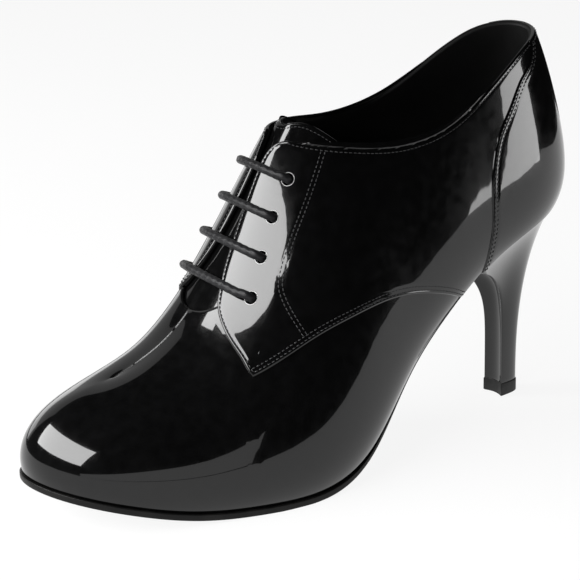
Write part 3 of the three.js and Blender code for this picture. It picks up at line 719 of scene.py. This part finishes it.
def find_on_last(view, targets, side, lift=0.0, highest=QUARTER_TURN):
    """Turn and rise of the points of the surface that a view shows at the targets."""
    turns = np.linspace(0.02, math.pi - 0.001, 150) * side
    rises = np.linspace(0.02, highest, int(60 * highest))
    grid_turn, grid_rise = (g.ravel() for g in np.meshgrid(turns, rises))
    seen = view(on_surface(grid_turn, grid_rise, np.full(grid_turn.shape, lift)))
    found = []
    for target in targets:
        distance = np.linalg.norm(seen - target, axis=1)
        if found:
            distance = distance + 3.0 * np.hypot(grid_turn - found[-1][0], grid_rise - found[-1][1])
        best = int(np.argmin(distance))
        place = np.array([grid_turn[best], grid_rise[best]])
        for _ in range(8):
            trial = np.array([place, place + (1e-4, 0.0), place + (0.0, 1e-4)])
            spots = view(on_surface(trial[:, 0], trial[:, 1], np.full(3, lift)))
            slope = np.stack([(spots[1] - spots[0]) / 1e-4, (spots[2] - spots[0]) / 1e-4], -1)
            move = np.linalg.lstsq(slope, target - spots[0], rcond=None)[0]
            place = place + np.clip(move, -0.08, 0.08)
            place[1] = min(max(place[1], 0.0), min(highest + 0.6, math.pi - 0.01))
        found.append(place)
    return np.array(found)


def eyestay_line(side, count=90):
    corner = OUTER_CORNER if side > 0 else INNER_CORNER
    line = smooth_line(EYESTAY_EDGE + corner, BALL_WIDTH * side, BALL_WIDTH, count)
    return find_on_last(throat_view, line, side, QUARTER_LIFT)


def side_line(rows, side, count, view=side_view, lift=QUARTER_LIFT):
    line = smooth_line(rows, SHOE_LENGTH, SEAT_HEIGHT, count)
    return find_on_last(view, line, side, lift)


def crossing(first, second):
    """Where two lines on the surface first meet: the piece number and share on each."""
    def area(u, v):
        return u[..., 0] * v[..., 1] - u[..., 1] * v[..., 0]

    run_first, run_second = np.diff(first, axis=0)[:, None], np.diff(second, axis=0)[None]
    gap = second[None, :-1] - first[:-1, None]
    turned = area(run_first, run_second)
    turned = np.where(np.abs(turned) < 1e-14, np.nan, turned)
    s = area(gap, run_second) / turned
    t = area(gap, run_first) / turned
    meets = np.argwhere((s >= -0.01) & (s <= 1.01) & (t >= -0.01) & (t <= 1.01))
    if not len(meets):
        return None
    i, j = meets[0]
    return int(i), float(s[i, j]), int(j), float(t[i, j])


def cut_between(line, start, end):
    """The stretch of a line between two places, each a piece number and a share."""
    first = line[start[0]] + (line[start[0] + 1] - line[start[0]]) * start[1]
    last = line[end[0]] + (line[end[0] + 1] - line[end[0]]) * end[1]
    return np.vstack([first, line[start[0] + 1:end[0] + 1], last])


def even(line, count):
    """The same line on the surface, with places evenly spaced in millimetres."""
    points = last_point(line[:, 0], line[:, 1])
    along = np.concatenate([[0.0], np.cumsum(np.linalg.norm(np.diff(points, axis=0), axis=1))])
    keep = np.concatenate([[True], np.diff(along) > 1e-6])
    wanted = (np.linspace(0.0, 1.0, count) if np.isscalar(count) else np.asarray(count)) * along[-1]
    return np.stack([np.interp(wanted, along[keep], line[keep, i]) for i in range(2)], -1)


def line_length(line):
    return float(np.sum(np.linalg.norm(np.diff(last_point(line[:, 0], line[:, 1]), axis=0), axis=1)))


def shifted(line, distance):
    """The line moved sideways over the surface, to the left of its run seen from outside."""
    points = last_point(line[:, 0], line[:, 1])
    along = np.gradient(points, axis=0)
    along /= np.linalg.norm(along, axis=1, keepdims=True)
    normal = last_normal(line[:, 0], line[:, 1])
    across = np.cross(normal, along)
    step = 1e-3
    by_turn = (last_point(line[:, 0] + step, line[:, 1]) - points) / step
    by_rise = (last_point(line[:, 0], line[:, 1] + step) - points) / step
    moved = line.copy()
    for i in range(len(line)):
        slope = np.stack([by_turn[i], by_rise[i]], -1)
        moved[i] += np.linalg.lstsq(slope, across[i] * distance, rcond=None)[0]
    return moved


EDGE_STEPS = (0.0, 0.1, 0.25, 0.45, 0.7, 1.0, 1.4, 1.8, 2.2, 2.6, 3.1, 3.8, 4.8, 6.2)


def graded(length, step=2.0, fine_start=True, fine_end=True):
    """Shares along a piece: close together at its edges, where they round over."""
    start = [d / length for d in EDGE_STEPS] if fine_start else [0.0]
    end = [1.0 - d / length for d in EDGE_STEPS[::-1]] if fine_end else [1.0]
    middle = max(int((end[0] - start[-1]) * length / step), 2)
    return np.array(start[:-1] + list(np.linspace(start[-1], end[0], middle)) + end[1:])


def patch(bottom, top, start, end, across, upward):
    """A four-sided piece of the surface between its edge lines, with no point off the form."""
    low, high = even(bottom, across), even(top, across)
    left, right_side = even(start, upward), even(end, upward)
    u = across[:, None, None]
    v = upward[None, :, None]
    ruled = (1 - v) * low[:, None] + v * high[:, None] + (1 - u) * left[None] + u * right_side[None]
    corners = (
        (1 - u) * (1 - v) * low[0] + u * (1 - v) * low[-1] + (1 - u) * v * high[0] + u * v * high[-1]
    )
    return ruled - corners


def to_edge(places, lines):
    """Distance in millimetres from each place to the nearest of the lines."""
    points = last_point(places[..., 0], places[..., 1]).reshape(-1, 3)
    nearest = np.full(len(points), 1e9)
    for line in lines:
        edge = last_point(*even(line, 400).T)
        a, b = edge[:-1], edge[1:]
        run = b - a
        span = np.maximum(np.sum(run * run, axis=1), 1e-12)
        for k in range(0, len(points), 2000):
            block = points[k:k + 2000]
            share = np.clip(np.sum((block[:, None] - a) * run, axis=2) / span, 0.0, 1.0)
            foot = a + share[..., None] * run
            distance = np.linalg.norm(block[:, None] - foot, axis=2).min(axis=1)
            nearest[k:k + 2000] = np.minimum(nearest[k:k + 2000], distance)
    return nearest.reshape(places.shape[:-1])


def rolled(distance, radius):
    """Share of full height at a distance from a rounded edge."""
    near = np.clip(distance / radius, 0.0, 1.0)
    return np.sqrt(np.clip(1.0 - (1.0 - near) ** 2, 0.0, 1.0))


def sheet_solid(name, places, outer, inner):
    """A closed sheet of leather on the last, from its face down to its back."""
    across, upward = places.shape[:2]
    face = on_surface(places[..., 0], places[..., 1], outer)
    back = on_surface(places[..., 0], places[..., 1], inner)
    points = np.concatenate([face.reshape(-1, 3), back.reshape(-1, 3)])
    count = across * upward
    faces = []
    for i in range(across - 1):
        for j in range(upward - 1):
            a, b = i * upward + j, (i + 1) * upward + j
            faces.append((a, b, b + 1, a + 1))
            faces.append((count + a, count + a + 1, count + b + 1, count + b))
    marks = [0, 1] * (len(faces) // 2)
    rim = [i * upward for i in range(across)]
    rim += [(across - 1) * upward + j for j in range(1, upward)]
    rim += [i * upward + upward - 1 for i in range(across - 2, -1, -1)]
    rim += list(range(upward - 2, 0, -1))
    for k, a in enumerate(rim):
        b = rim[(k + 1) % len(rim)]
        faces.append((b, a, count + a, count + b))
    return build_mesh(name, points, faces, marks=marks + [0] * len(rim))


# Vamp: one piece of patent leather pulled over the toe and ball, with a straight-cut throat
# and its sides run back under the quarters to the waist. Its inside is lined.
LAP = 5.0
vamp_outer = {}
seam_lines = {}
eyestay_lines = {}
topline_lines = {}
counter_lines = {}
for side in (1, -1):
    eyestay = eyestay_line(side)
    seam = side_line(QUARTER_SEAM, side, 70)
    corner = crossing(eyestay, seam)
    topline = side_line(TOPLINE, side, 110, topline_view)
    topline = topline[np.abs(topline[:, 0]) < math.pi - 0.05]
    to_back = (math.pi * side - topline[0, 0]) / (topline[0, 0] - topline[1, 0])
    back_centre = topline[0] + (topline[0] - topline[1]) * to_back
    topline = np.vstack([back_centre, topline, 2.0 * topline[-1] - topline[-2]])
    meet = crossing(eyestay[50:], topline)
    eyestay_lines[side] = cut_between(eyestay, (corner[0], corner[1]), (meet[0] + 50, meet[1]))
    topline_lines[side] = cut_between(topline, (0, 0.0), (meet[2], meet[3]))[::-1]
    seam = cut_between(seam, (corner[2], corner[3]), (len(seam) - 2, 1.0))
    above_foot = seam[:, 1] > 0.012
    last_row = int(np.max(np.nonzero(above_foot)))
    seam = seam[:last_row + 1]
    end_x = last_point(*seam[-1])[0]
    foot_x = np.linspace(end_x - 2.0, -SEAT_OVERHANG + 1.0, 120)
    foot_turn = np.arccos(np.clip(2.0 * (foot_x + SEAT_OVERHANG) / SHOE_LENGTH - 1.0, -1.0, 1.0)) * side
    foot_run = np.stack([foot_turn, np.zeros(len(foot_turn))], -1)
    seam_lines[side] = np.vstack([seam, foot_run])
    counter_lines[side] = side_line(COUNTER_SEAM, side, 80, side_view, QUARTER_LIFT)

for side in (1, -1):
    throat = find_on_last(throat_view, smooth_line(VAMP_EDGE, BALL_WIDTH * side, BALL_WIDTH, 24), side)
    throat[0] = (throat[0, 0], QUARTER_TURN)
    covered = seam_lines[side][:-118]
    tucked = shifted(covered, LAP * side)
    tucked = tucked[np.abs(tucked[:, 0]) > abs(throat[-1, 0]) + 0.03]
    vamp_outer[side] = np.vstack([throat, tucked])

vamp_side = {}
for side in (1, -1):
    edge = vamp_outer[side]
    order = np.argsort(np.abs(edge[:, 0]))
    edge_turn, edge_rise = np.abs(edge[order, 0]), edge[order, 1]
    last_turn = edge_turn[-1]
    start = edge_turn[0]
    columns = np.concatenate([
        np.linspace(0.0, start, 110),
        np.linspace(start, abs(edge[23, 0]), 30)[1:],
        np.linspace(abs(edge[23, 0]), last_turn, 70)[1:],
    ])
    tops = np.where(columns <= start, QUARTER_TURN, np.interp(columns, edge_turn, edge_rise))
    vamp_side[side] = (columns * side, tops)

VAMP_ROWS = 90
rows = np.linspace(0.0, 1.0, VAMP_ROWS)
turns = np.concatenate([vamp_side[-1][0][::-1], vamp_side[1][0][1:]])
tops = np.concatenate([vamp_side[-1][1][::-1], vamp_side[1][1][1:]])
vamp_places = np.stack([np.repeat(turns[:, None], VAMP_ROWS, 1), tops[:, None] * rows[None]], -1)
throat_lines = [vamp_outer[side][:24] for side in (1, -1)]
vamp_edge_distance = to_edge(vamp_places, throat_lines)
vamp_face = -0.5 + 0.5 * rolled(vamp_edge_distance, 0.7)
vamp = sheet_solid("vamp", vamp_places, vamp_face, np.full(vamp_face.shape, -WALL))
vamp.data.materials.append(patent)
vamp.data.materials.append(lining_leather)
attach(vamp, "root")
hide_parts("upper")

# Tongue: a separate patent piece, lined and stitched along its top edge, sewn in under the vamp's throat.
# It stands above the eyestays and has a soft crease down the middle of its top.
TONGUE_THICKNESS = 1.7
TONGUE_EDGE = (
    (0.000, -0.400), (0.160, -0.395), (0.225, -0.350), (0.245, -0.200), (0.275, 0.200),
    (0.325, 0.620), (0.328, 0.700), (0.305, 0.755), (0.248, 0.793), (0.180, 0.808),
    (0.120, 0.806), (0.070, 0.790), (0.030, 0.768), (0.000, 0.762),
)
TONGUE_CREASE = 0.5
tongue_half = smooth_line(TONGUE_EDGE, BALL_WIDTH, BALL_WIDTH, 120)
foot_corner = int(np.argmin(np.linalg.norm(tongue_half - np.array([0.225, -0.350]) * BALL_WIDTH, axis=1)))
top_corner = int(np.argmin(np.linalg.norm(tongue_half - np.array([0.305, 0.755]) * BALL_WIDTH, axis=1)))
tongue_lift = -WALL - SEAM_GAP
tongue_sides = {}
for side in (1, -1):
    targets = tongue_half[::-1] * (side, 1.0)
    tongue_sides[side] = find_on_last(throat_view, targets, 1, tongue_lift, math.pi - 0.02)[::-1]
tongue_foot = np.vstack([tongue_sides[1][foot_corner::-1], tongue_sides[-1][1:foot_corner + 1]])
tongue_top = np.vstack([tongue_sides[1][top_corner:], tongue_sides[-1][top_corner:-1][::-1]])
tongue_outer = tongue_sides[1][foot_corner:top_corner + 1]
tongue_inner = tongue_sides[-1][foot_corner:top_corner + 1]
across = graded(45.0, 0.8)
upward = graded(95.0, 1.0)
tongue_places = patch(tongue_foot, tongue_top, tongue_outer, tongue_inner, across, upward)
tongue_distance = to_edge(tongue_places, [tongue_top, tongue_outer, tongue_inner])
tongue_spots = throat_view(last_point(tongue_places[..., 0], tongue_places[..., 1]))
near_top = np.clip((tongue_spots[..., 1] - 0.52 * BALL_WIDTH) / (0.2 * BALL_WIDTH), 0.0, 1.0)
crease = TONGUE_CREASE * near_top * np.exp(-(tongue_spots[..., 0] / 1.6) ** 2)
tongue_face = tongue_lift - 0.75 * (1.0 - rolled(tongue_distance, 0.85)) - crease
tongue_face = tongue_face - 0.10 * np.exp(-((tongue_distance - 1.9) / 0.5) ** 2)
tongue_back = tongue_lift - TONGUE_THICKNESS + 0.75 * (1.0 - rolled(tongue_distance, 0.85)) - crease
tongue = sheet_solid("tongue_patent", tongue_places, tongue_face, tongue_back)
tongue.data.materials.append(patent)
tongue.data.materials.append(lining_leather)
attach(tongue, "root")
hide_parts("tongue")

# Quarters: the two side panels, lapped over the vamp and sewn down with two rows of thread.
# Each has its eyestay in front, with four plain punched holes, and a folded topline.
QUARTER_STEP = 0.75
HOLE_DIAMETER = 4.8
HOLE_PITCH = 14.5
FIRST_HOLE_UP = -2.2
HOLE_OUT = (0.306, 0.254, 0.215, 0.200)
HOLE_RIM = 0.1
ROW_INSET = 1.3
ROW_SPACING = 1.4
THREAD_DENT = 0.10
EYESTAY_BACK = (
    (95.6, 125.5), (98.4, 120.5), (102.2, 114.0), (109.1, 102.7), (115.7, 92.2), (122.4, 80.4),
    (123.9, 75.7), (123.2, 68.9), (119.8, 59.4), (117.4, 54.0),
)
BAR_TACK = ((137.7, 55.6), (136.3, 57.4))


def beside(line, distance, middle):
    """The line moved by a distance towards the middle of its panel."""
    reach = []
    for sign in (1.0, -1.0):
        moved = shifted(line, distance * sign)
        reach.append((np.nanmean(np.linalg.norm(moved - middle, axis=1)), moved))
    return min(reach, key=lambda pair: pair[0])[1]


def between(line, first=None, last=None):
    """The part of a row that lies between two lines it runs up to."""
    for limit in (first, last):
        meet = crossing(line, limit) if limit is not None else None
        if meet and limit is first:
            line = cut_between(line, (meet[0], meet[1]), (len(line) - 2, 1.0))
        elif meet:
            line = cut_between(line, (0, 0.0), (meet[0], meet[1]))
    return line


def dents(places, rows):
    """How far the thread pulls the leather in near its rows."""
    distance = to_edge(places, rows)
    return THREAD_DENT * np.exp(-(distance / 0.55) ** 2)


hole_places = {}
for side in (1, -1):
    targets = np.array([
        (out * BALL_WIDTH * side, FIRST_HOLE_UP + row * HOLE_PITCH) for row, out in enumerate(HOLE_OUT)
    ])
    hole_places[side] = find_on_last(throat_view, targets, side)


def punch(piece, side):
    """Cut the four lace holes through a piece with round punches."""
    for place in hole_places[side]:
        point, normal = last_point(*place) * MM, Vector(last_normal(*place))
        bpy.ops.object.select_all(action="DESELECT")
        bpy.ops.mesh.primitive_cylinder_add(
            vertices=36, radius=HOLE_DIAMETER / 2.0 * MM, depth=12.0 * MM, location=point,
            rotation=normal.to_track_quat("Z", "Y").to_euler(),
        )
        tool = bpy.context.object
        bpy.ops.object.select_all(action="DESELECT")
        piece.select_set(True)
        bpy.context.view_layer.objects.active = piece
        cut = piece.modifiers.new("hole", "BOOLEAN")
        cut.operation = "DIFFERENCE"
        cut.solver = "EXACT"
        cut.object = tool
        bpy.ops.object.modifier_apply(modifier="hole")
        bpy.data.objects.remove(tool)
    bpy.ops.object.shade_smooth_by_angle(angle=math.radians(50.0))


def turn_rims(piece, side, lift):
    """The film drawn in round each punched hole, as a fine rounded rim of the same leather."""
    rims = []
    for place in hole_places[side]:
        normal = Vector(last_normal(*place))
        bpy.ops.object.select_all(action="DESELECT")
        bpy.ops.mesh.primitive_torus_add(
            major_segments=36, minor_segments=8, major_radius=(HOLE_DIAMETER + HOLE_RIM) / 2.0 * MM,
            minor_radius=HOLE_RIM * MM, location=(last_point(*place) + last_normal(*place) * (lift - HOLE_RIM / 2.0)) * MM,
            rotation=normal.to_track_quat("Z", "Y").to_euler(),
        )
        bpy.ops.object.shade_smooth()
        rims.append(bpy.context.object)
    bpy.ops.object.select_all(action="DESELECT")
    for rim in rims:
        rim.select_set(True)
    piece.select_set(True)
    bpy.context.view_layer.objects.active = piece
    bpy.ops.object.join()


quarter_patches = {}
quarter_rows = {}
for side, name in ((1, "quarter_outer"), (-1, "quarter_inner")):
    rear = counter_lines[side]
    top_meet = crossing(rear, topline_lines[side][::-1])
    low_meet = crossing(rear, seam_lines[side][::-1])
    count_top = len(topline_lines[side])
    top_full = topline_lines[side][::-1]
    top_cut = cut_between(top_full, (top_meet[2], top_meet[3]), (count_top - 2, 1.0))[::-1]
    low_full = seam_lines[side][::-1]
    low_cut = cut_between(low_full, (low_meet[2], low_meet[3]), (len(low_full) - 2, 1.0))[::-1]
    rear_cut = cut_between(rear, (top_meet[0], top_meet[1]), (low_meet[0], low_meet[1]))[::-1]
    front = eyestay_lines[side]
    quarter_patches[side] = (low_cut, top_cut, front, rear_cut)
    middle = np.mean(np.vstack([even(line, 60) for line in quarter_patches[side]]), axis=0)
    seam_only = even(seam_lines[side][:-119], 90)
    stay_back = find_on_last(side_view, smooth_line(EYESTAY_BACK, 1.0, 1.0, 100), side, QUARTER_LIFT)
    stay_front = shifted(stay_back, -ROW_SPACING * side)
    front_row = beside(even(front, 160), ROW_INSET, middle)
    top_row = beside(even(top_cut, 150), ROW_INSET, middle * (1.0, 0.3))
    seam_row = beside(seam_only, ROW_INSET, middle)
    second_row = beside(seam_only, ROW_INSET + ROW_SPACING, middle)
    tack = find_on_last(side_view, np.array(BAR_TACK), side, QUARTER_LIFT)
    quarter_rows[side] = [
        between(front_row, seam_row, top_row),
        between(top_row, front_row, rear_cut),
        between(stay_back, top_row, second_row),
        between(stay_front, top_row, second_row),
        between(seam_row, front_row, rear_cut),
        between(second_row, front_row, rear_cut),
        tack,
    ]
    across = graded(95.0, QUARTER_STEP)
    upward = graded(75.0, QUARTER_STEP)
    places = patch(low_cut, top_cut, front, rear_cut, across, upward)
    distance = to_edge(places, [low_cut, top_cut, front])
    outer = QUARTER_LIFT * rolled(distance, 0.8) - dents(places, quarter_rows[side])
    panel = sheet_solid(name, places, outer, np.full(outer.shape, -0.02))
    panel.data.materials.append(patent)
    panel.data.materials.append(lining_leather)
    punch(panel, side)
    turn_rims(panel, side, QUARTER_LIFT)
    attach(panel, "root")
    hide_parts("upper")

# Counter: the stiffened back panel, lapped over both quarters from the topline to the heel
# and sewn down with two rows. It wraps the heel without a back seam.
outer_rear, inner_rear = quarter_patches[1][3], quarter_patches[-1][3]


def behind(line, seam):
    meet = crossing(line, seam)
    return cut_between(line, (meet[0], meet[1]), (len(line) - 2, 1.0))


full_turn = np.array([2.0 * math.pi, 0.0])
top_outer = behind(topline_lines[1], counter_lines[1])
top_inner = behind(topline_lines[-1], counter_lines[-1]) + full_turn
middle_rise = (top_outer[-1, 1] + top_inner[-1, 1]) / 2.0
counter_top = np.vstack([top_outer, [[math.pi, middle_rise]], top_inner[::-1]])
low_outer = behind(seam_lines[1], counter_lines[1])
low_inner = behind(seam_lines[-1], counter_lines[-1]) + full_turn
counter_low = np.vstack([low_outer, [[math.pi, 0.0]], low_inner[::-1]])
across = graded(110.0, 0.9)
upward = graded(88.0, 0.9)
inner_seam = inner_rear + full_turn
counter_places = patch(counter_low, counter_top, outer_rear, inner_seam, across, upward)
counter_middle = np.array([math.pi, 0.7])
counter_top_row = beside(even(counter_top, 160), ROW_INSET, counter_middle)
counter_rows = [counter_top_row[3:-3]]
for line in (outer_rear, inner_seam):
    for inset in (ROW_INSET, ROW_INSET + ROW_SPACING):
        counter_rows.append(between(beside(even(line, 110), inset, counter_middle), None, counter_top_row))
distance = to_edge(counter_places, [counter_top, outer_rear, inner_seam])
counter_face = (QUARTER_LIFT + COUNTER_LIFT) * rolled(distance, 1.0) - dents(counter_places, counter_rows)
counter = sheet_solid("counter", counter_places, counter_face, np.full(counter_face.shape, -0.02))
counter.data.materials.append(patent)
counter.data.materials.append(lining_leather)
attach(counter, "root")
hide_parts("upper")

# Quarter linings: dull black leather behind each quarter, round to the heel, stopped just under the
# folded topline so that the patent's fold shows as a fine line along the collar.
LINING_DROP = 0.35
for side, name in ((1, "lining_outer"), (-1, "lining_inner")):
    front = beside(even(eyestay_lines[side], 140), LINING_DROP, np.array([1.9 * side, 0.7]))
    top = beside(even(topline_lines[side], 180), LINING_DROP, np.array([2.1 * side, 0.4]))
    top[-1] = (math.pi * side, top[-1, 1])
    under = beside(vamp_outer[side], LINING_DROP, np.array([2.2 * side, 1.2]))
    start = crossing(front, under)
    join = crossing(front[90:], top)
    front = cut_between(front, (start[0], start[1]), (join[0] + 90, join[1]))
    top = cut_between(top, (join[2], join[3]), (len(top) - 2, 1.0))
    under = cut_between(under, (start[2], start[3]), (len(under) - 2, 1.0))
    foot_turns = np.linspace(abs(under[-1, 0]) + 0.02, math.pi, 60) * side
    low = np.vstack([under, np.stack([foot_turns, np.full(60, 0.01)], -1)])
    back = np.stack([np.full(60, math.pi * side), np.linspace(0.01, top[-1, 1], 60)], -1)
    across = graded(150.0, 2.0, fine_end=False)
    upward = graded(70.0, 2.0, fine_start=False)
    places = patch(low, top, front, back, across, upward)
    distance = to_edge(places, [top, front])
    outer = np.full(distance.shape, -0.04)
    inner = -0.04 - (WALL - 0.04) * rolled(distance, 0.7)
    lining = sheet_solid(name, places, outer, inner)
    lining.data.materials.append(lining_leather)
    lining.data.materials.append(lining_leather)
    punch(lining, side)
    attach(lining, "root")
    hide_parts("upper")

# Stitching: bonded black thread, about ten stitches to the inch, each stitch a short hump
# that dips into the leather at both ends.
STITCH_PITCH = 1.7
STITCH_HALF = 0.64
THREAD_RADIUS = 0.19
STITCH_SIDES = 6


def waxed_thread():
    """Bonded black thread, brighter than the leather where it catches the light."""
    material = bpy.data.materials.new("bonded_thread")
    material.use_nodes = True
    nodes, links = material.node_tree.nodes, material.node_tree.links
    thread = nodes["Principled BSDF"]
    place = nodes.new("ShaderNodeTexCoord")
    fibre = nodes.new("ShaderNodeTexNoise")
    fibre.inputs["Scale"].default_value = 2600.0
    fibre.inputs["Detail"].default_value = 2.0
    links.new(place.outputs["Object"], fibre.inputs["Vector"])
    shade = nodes.new("ShaderNodeValToRGB")
    shade.color_ramp.elements[0].position = 0.35
    shade.color_ramp.elements[0].color = (0.016, 0.016, 0.017, 1.0)
    shade.color_ramp.elements[1].position = 0.7
    shade.color_ramp.elements[1].color = (0.048, 0.048, 0.050, 1.0)
    links.new(fibre.outputs["Fac"], shade.inputs["Fac"])
    links.new(shade.outputs["Color"], thread.inputs["Base Color"])
    bump = nodes.new("ShaderNodeBump")
    bump.inputs["Strength"].default_value = 0.4
    bump.inputs["Distance"].default_value = 0.0001
    links.new(fibre.outputs["Fac"], bump.inputs["Height"])
    links.new(bump.outputs["Normal"], thread.inputs["Normal"])
    thread.inputs["Roughness"].default_value = 0.45
    thread.inputs["Specular IOR Level"].default_value = 0.5
    return material


bonded_thread = waxed_thread()


def stitch_rows(name, rows, lift):
    """Rows of stitches along lines on the last, all in one piece of thread work."""
    points, faces = [], []
    profile = ((-1.0, 0.35, -0.20), (-0.72, 0.85, -0.03), (-0.25, 1.0, 0.07), (0.25, 1.0, 0.07), (0.72, 0.85, -0.03), (1.0, 0.35, -0.20))
    for row in rows:
        length = line_length(row)
        count = max(int(length / STITCH_PITCH), 1)
        margin = 1.0 / (2.0 * count)
        spots = even(row, np.linspace(margin, 1.0 - margin, count))
        ahead = even(row, np.clip(np.linspace(margin, 1.0 - margin, count) + 0.15 / length, 0.0, 1.0))
        centre = on_surface(spots[:, 0], spots[:, 1], np.full(count, lift))
        normal = last_normal(spots[:, 0], spots[:, 1])
        along = last_point(ahead[:, 0], ahead[:, 1]) - last_point(spots[:, 0], spots[:, 1])
        along -= normal * np.sum(along * normal, axis=1, keepdims=True)
        along /= np.linalg.norm(along, axis=1, keepdims=True)
        across_row = np.cross(normal, along)
        for k in range(count):
            base = len(points)
            for share, girth, height in profile:
                for step in range(STITCH_SIDES):
                    angle = step / STITCH_SIDES * 2.0 * math.pi
                    points.append(
                        centre[k] + along[k] * (share * STITCH_HALF) + normal[k] * height
                        + (across_row[k] * math.cos(angle) + normal[k] * math.sin(angle)) * THREAD_RADIUS * girth
                    )
            rings = len(profile)
            for ring in range(rings - 1):
                for step in range(STITCH_SIDES):
                    a = base + ring * STITCH_SIDES + step
                    b = base + ring * STITCH_SIDES + (step + 1) % STITCH_SIDES
                    faces.append((a, b, b + STITCH_SIDES, a + STITCH_SIDES))
            faces.append(tuple(base + step for step in range(STITCH_SIDES))[::-1])
            faces.append(tuple(base + (rings - 1) * STITCH_SIDES + step for step in range(STITCH_SIDES)))
    work = build_mesh(name, points, faces)
    work.data.materials.append(bonded_thread)
    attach(work, "root")
    return work


stitch_rows("stitches_quarter_outer", quarter_rows[1], QUARTER_LIFT - 0.02)
stitch_rows("stitches_quarter_inner", quarter_rows[-1], QUARTER_LIFT - 0.02)
stitch_rows("stitches_counter", counter_rows, QUARTER_LIFT + COUNTER_LIFT - 0.02)
tongue_row = beside(even(tongue_top, 90), 1.9, np.array([1.3, math.pi / 2.0]))[4:-4]
stitch_rows("stitches_tongue", [tongue_row], tongue_lift - 0.04)

# Laces: one round waxed cotton cord, braided of fine strands. It shows as four straight bars, each
# up out of its hole, bent over the eyestay and across the throat to the hole on the other side.
LACE_DIAMETER = 3.2
LACE_BEND = 2.1
LACE_STEP = 0.22
LACE_SIDES = 40
PLAIT_LENGTH = 3.4
PLAIT_DEPTH = 0.07


def lace_end(out, up, lift):
    hole = find_on_last(throat_view, [np.array([out, up])], math.copysign(1.0, out))[0]
    nearer = find_on_last(throat_view, [np.array([out * 0.8, up])], math.copysign(1.0, out))[0]
    point, normal = last_point(*hole), last_normal(*hole)
    inward = last_point(*nearer) - point
    inward -= normal * (inward @ normal)
    inward /= np.linalg.norm(inward)
    start = lift - LACE_BEND
    points = [point + normal * (SEAM_GAP - WALL), point + normal * ((start - WALL) / 2.0)]
    for i in range(5):
        angle = i / 4.0 * math.pi / 2.0
        points.append(
            point + normal * (start + LACE_BEND * math.sin(angle)) + inward * LACE_BEND * (1.0 - math.cos(angle))
        )
    return points


def waxed_cord():
    """Waxed cotton braid, charcoal black, with a soft sheen and paler rubbed strands."""
    material = bpy.data.materials.new("waxed_braid")
    material.use_nodes = True
    nodes, links = material.node_tree.nodes, material.node_tree.links
    cotton = nodes["Principled BSDF"]
    place = nodes.new("ShaderNodeTexCoord")
    fibre = nodes.new("ShaderNodeTexNoise")
    fibre.inputs["Scale"].default_value = 1500.0
    fibre.inputs["Detail"].default_value = 4.0
    fibre.inputs["Roughness"].default_value = 0.65
    links.new(place.outputs["Object"], fibre.inputs["Vector"])
    shade = nodes.new("ShaderNodeValToRGB")
    shade.color_ramp.elements[0].position = 0.35
    shade.color_ramp.elements[0].color = (0.008, 0.008, 0.009, 1.0)
    shade.color_ramp.elements[1].position = 0.75
    shade.color_ramp.elements[1].color = (0.024, 0.024, 0.025, 1.0)
    links.new(fibre.outputs["Fac"], shade.inputs["Fac"])
    links.new(shade.outputs["Color"], cotton.inputs["Base Color"])
    bump = nodes.new("ShaderNodeBump")
    bump.inputs["Strength"].default_value = 0.5
    bump.inputs["Distance"].default_value = 0.00015
    links.new(fibre.outputs["Fac"], bump.inputs["Height"])
    links.new(bump.outputs["Normal"], cotton.inputs["Normal"])
    cotton.inputs["Roughness"].default_value = 0.4
    cotton.inputs["Specular IOR Level"].default_value = 0.25
    cotton.inputs["Sheen Weight"].default_value = 0.03
    cotton.inputs["Sheen Roughness"].default_value = 0.4
    return material


waxed_braid = waxed_cord()
lace_lift = QUARTER_LIFT + 2.0 * SEAM_GAP + LACE_DIAMETER / 2.0
for row, share in enumerate(HOLE_OUT):
    up = FIRST_HOLE_UP + row * HOLE_PITCH
    out = share * BALL_WIDTH
    span = out - LACE_BEND - 1.0
    knots = lace_end(out, up, lace_lift)
    for i in range(9):
        aim = (1.0 - i / 4.0) * span
        hand = 1.0 if aim >= 0.0 else -1.0
        place = find_on_last(throat_view, [np.array([aim, up])], hand, lace_lift)[0]
        knots.append(on_surface(place[0], place[1], np.array(lace_lift)))
    knots += lace_end(-out, up, lace_lift)[::-1]
    knots = np.array(knots)
    steps = np.concatenate([[0.0], np.cumsum(np.sqrt(np.linalg.norm(np.diff(knots, axis=0), axis=1)))])
    fine = np.linspace(0.0, steps[-1], 600)
    path = np.stack([spline(steps, knots[:, axis])(fine) for axis in range(3)], -1)
    length = float(np.sum(np.linalg.norm(np.diff(path, axis=0), axis=1)))
    path = resample(path, int(length / LACE_STEP))
    along = np.gradient(path, axis=0)
    along /= np.linalg.norm(along, axis=1, keepdims=True)
    sideways = np.cross(along, np.array([0.5, 0.0, 0.866]))
    frame_across = [np.array([0.0, 0.0, 1.0])]
    frame_across[0] = np.cross(along[0], np.array([0.866, 0.0, -0.5]))
    frame_across[0] /= np.linalg.norm(frame_across[0])
    for tangent in along[1:]:
        carried = frame_across[-1] - tangent * (frame_across[-1] @ tangent)
        frame_across.append(carried / np.linalg.norm(carried))
    rings = []
    travelled = np.linspace(0.0, length, len(path))
    for point, tangent, axis_one, distance in zip(path, along, frame_across, travelled):
        axis_two = np.cross(tangent, axis_one)
        angle = np.linspace(0.0, 2.0 * math.pi, LACE_SIDES, endpoint=False)
        twist = distance / PLAIT_LENGTH * 2.0 * math.pi
        plait = np.maximum(np.cos(4.0 * angle + twist), np.cos(4.0 * angle - twist))
        radius = LACE_DIAMETER / 2.0 - PLAIT_DEPTH * (1.0 - plait)
        rings.append(
            point + (axis_one[None] * np.cos(angle)[:, None] + axis_two[None] * np.sin(angle)[:, None]) * radius[:, None]
        )
    bar = through_rings(f"lace_{row + 1}", rings)
    bar.data.materials.append(waxed_braid)
    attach(bar, "root")
    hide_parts(f"lace_bar_{row + 1}")

low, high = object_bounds()
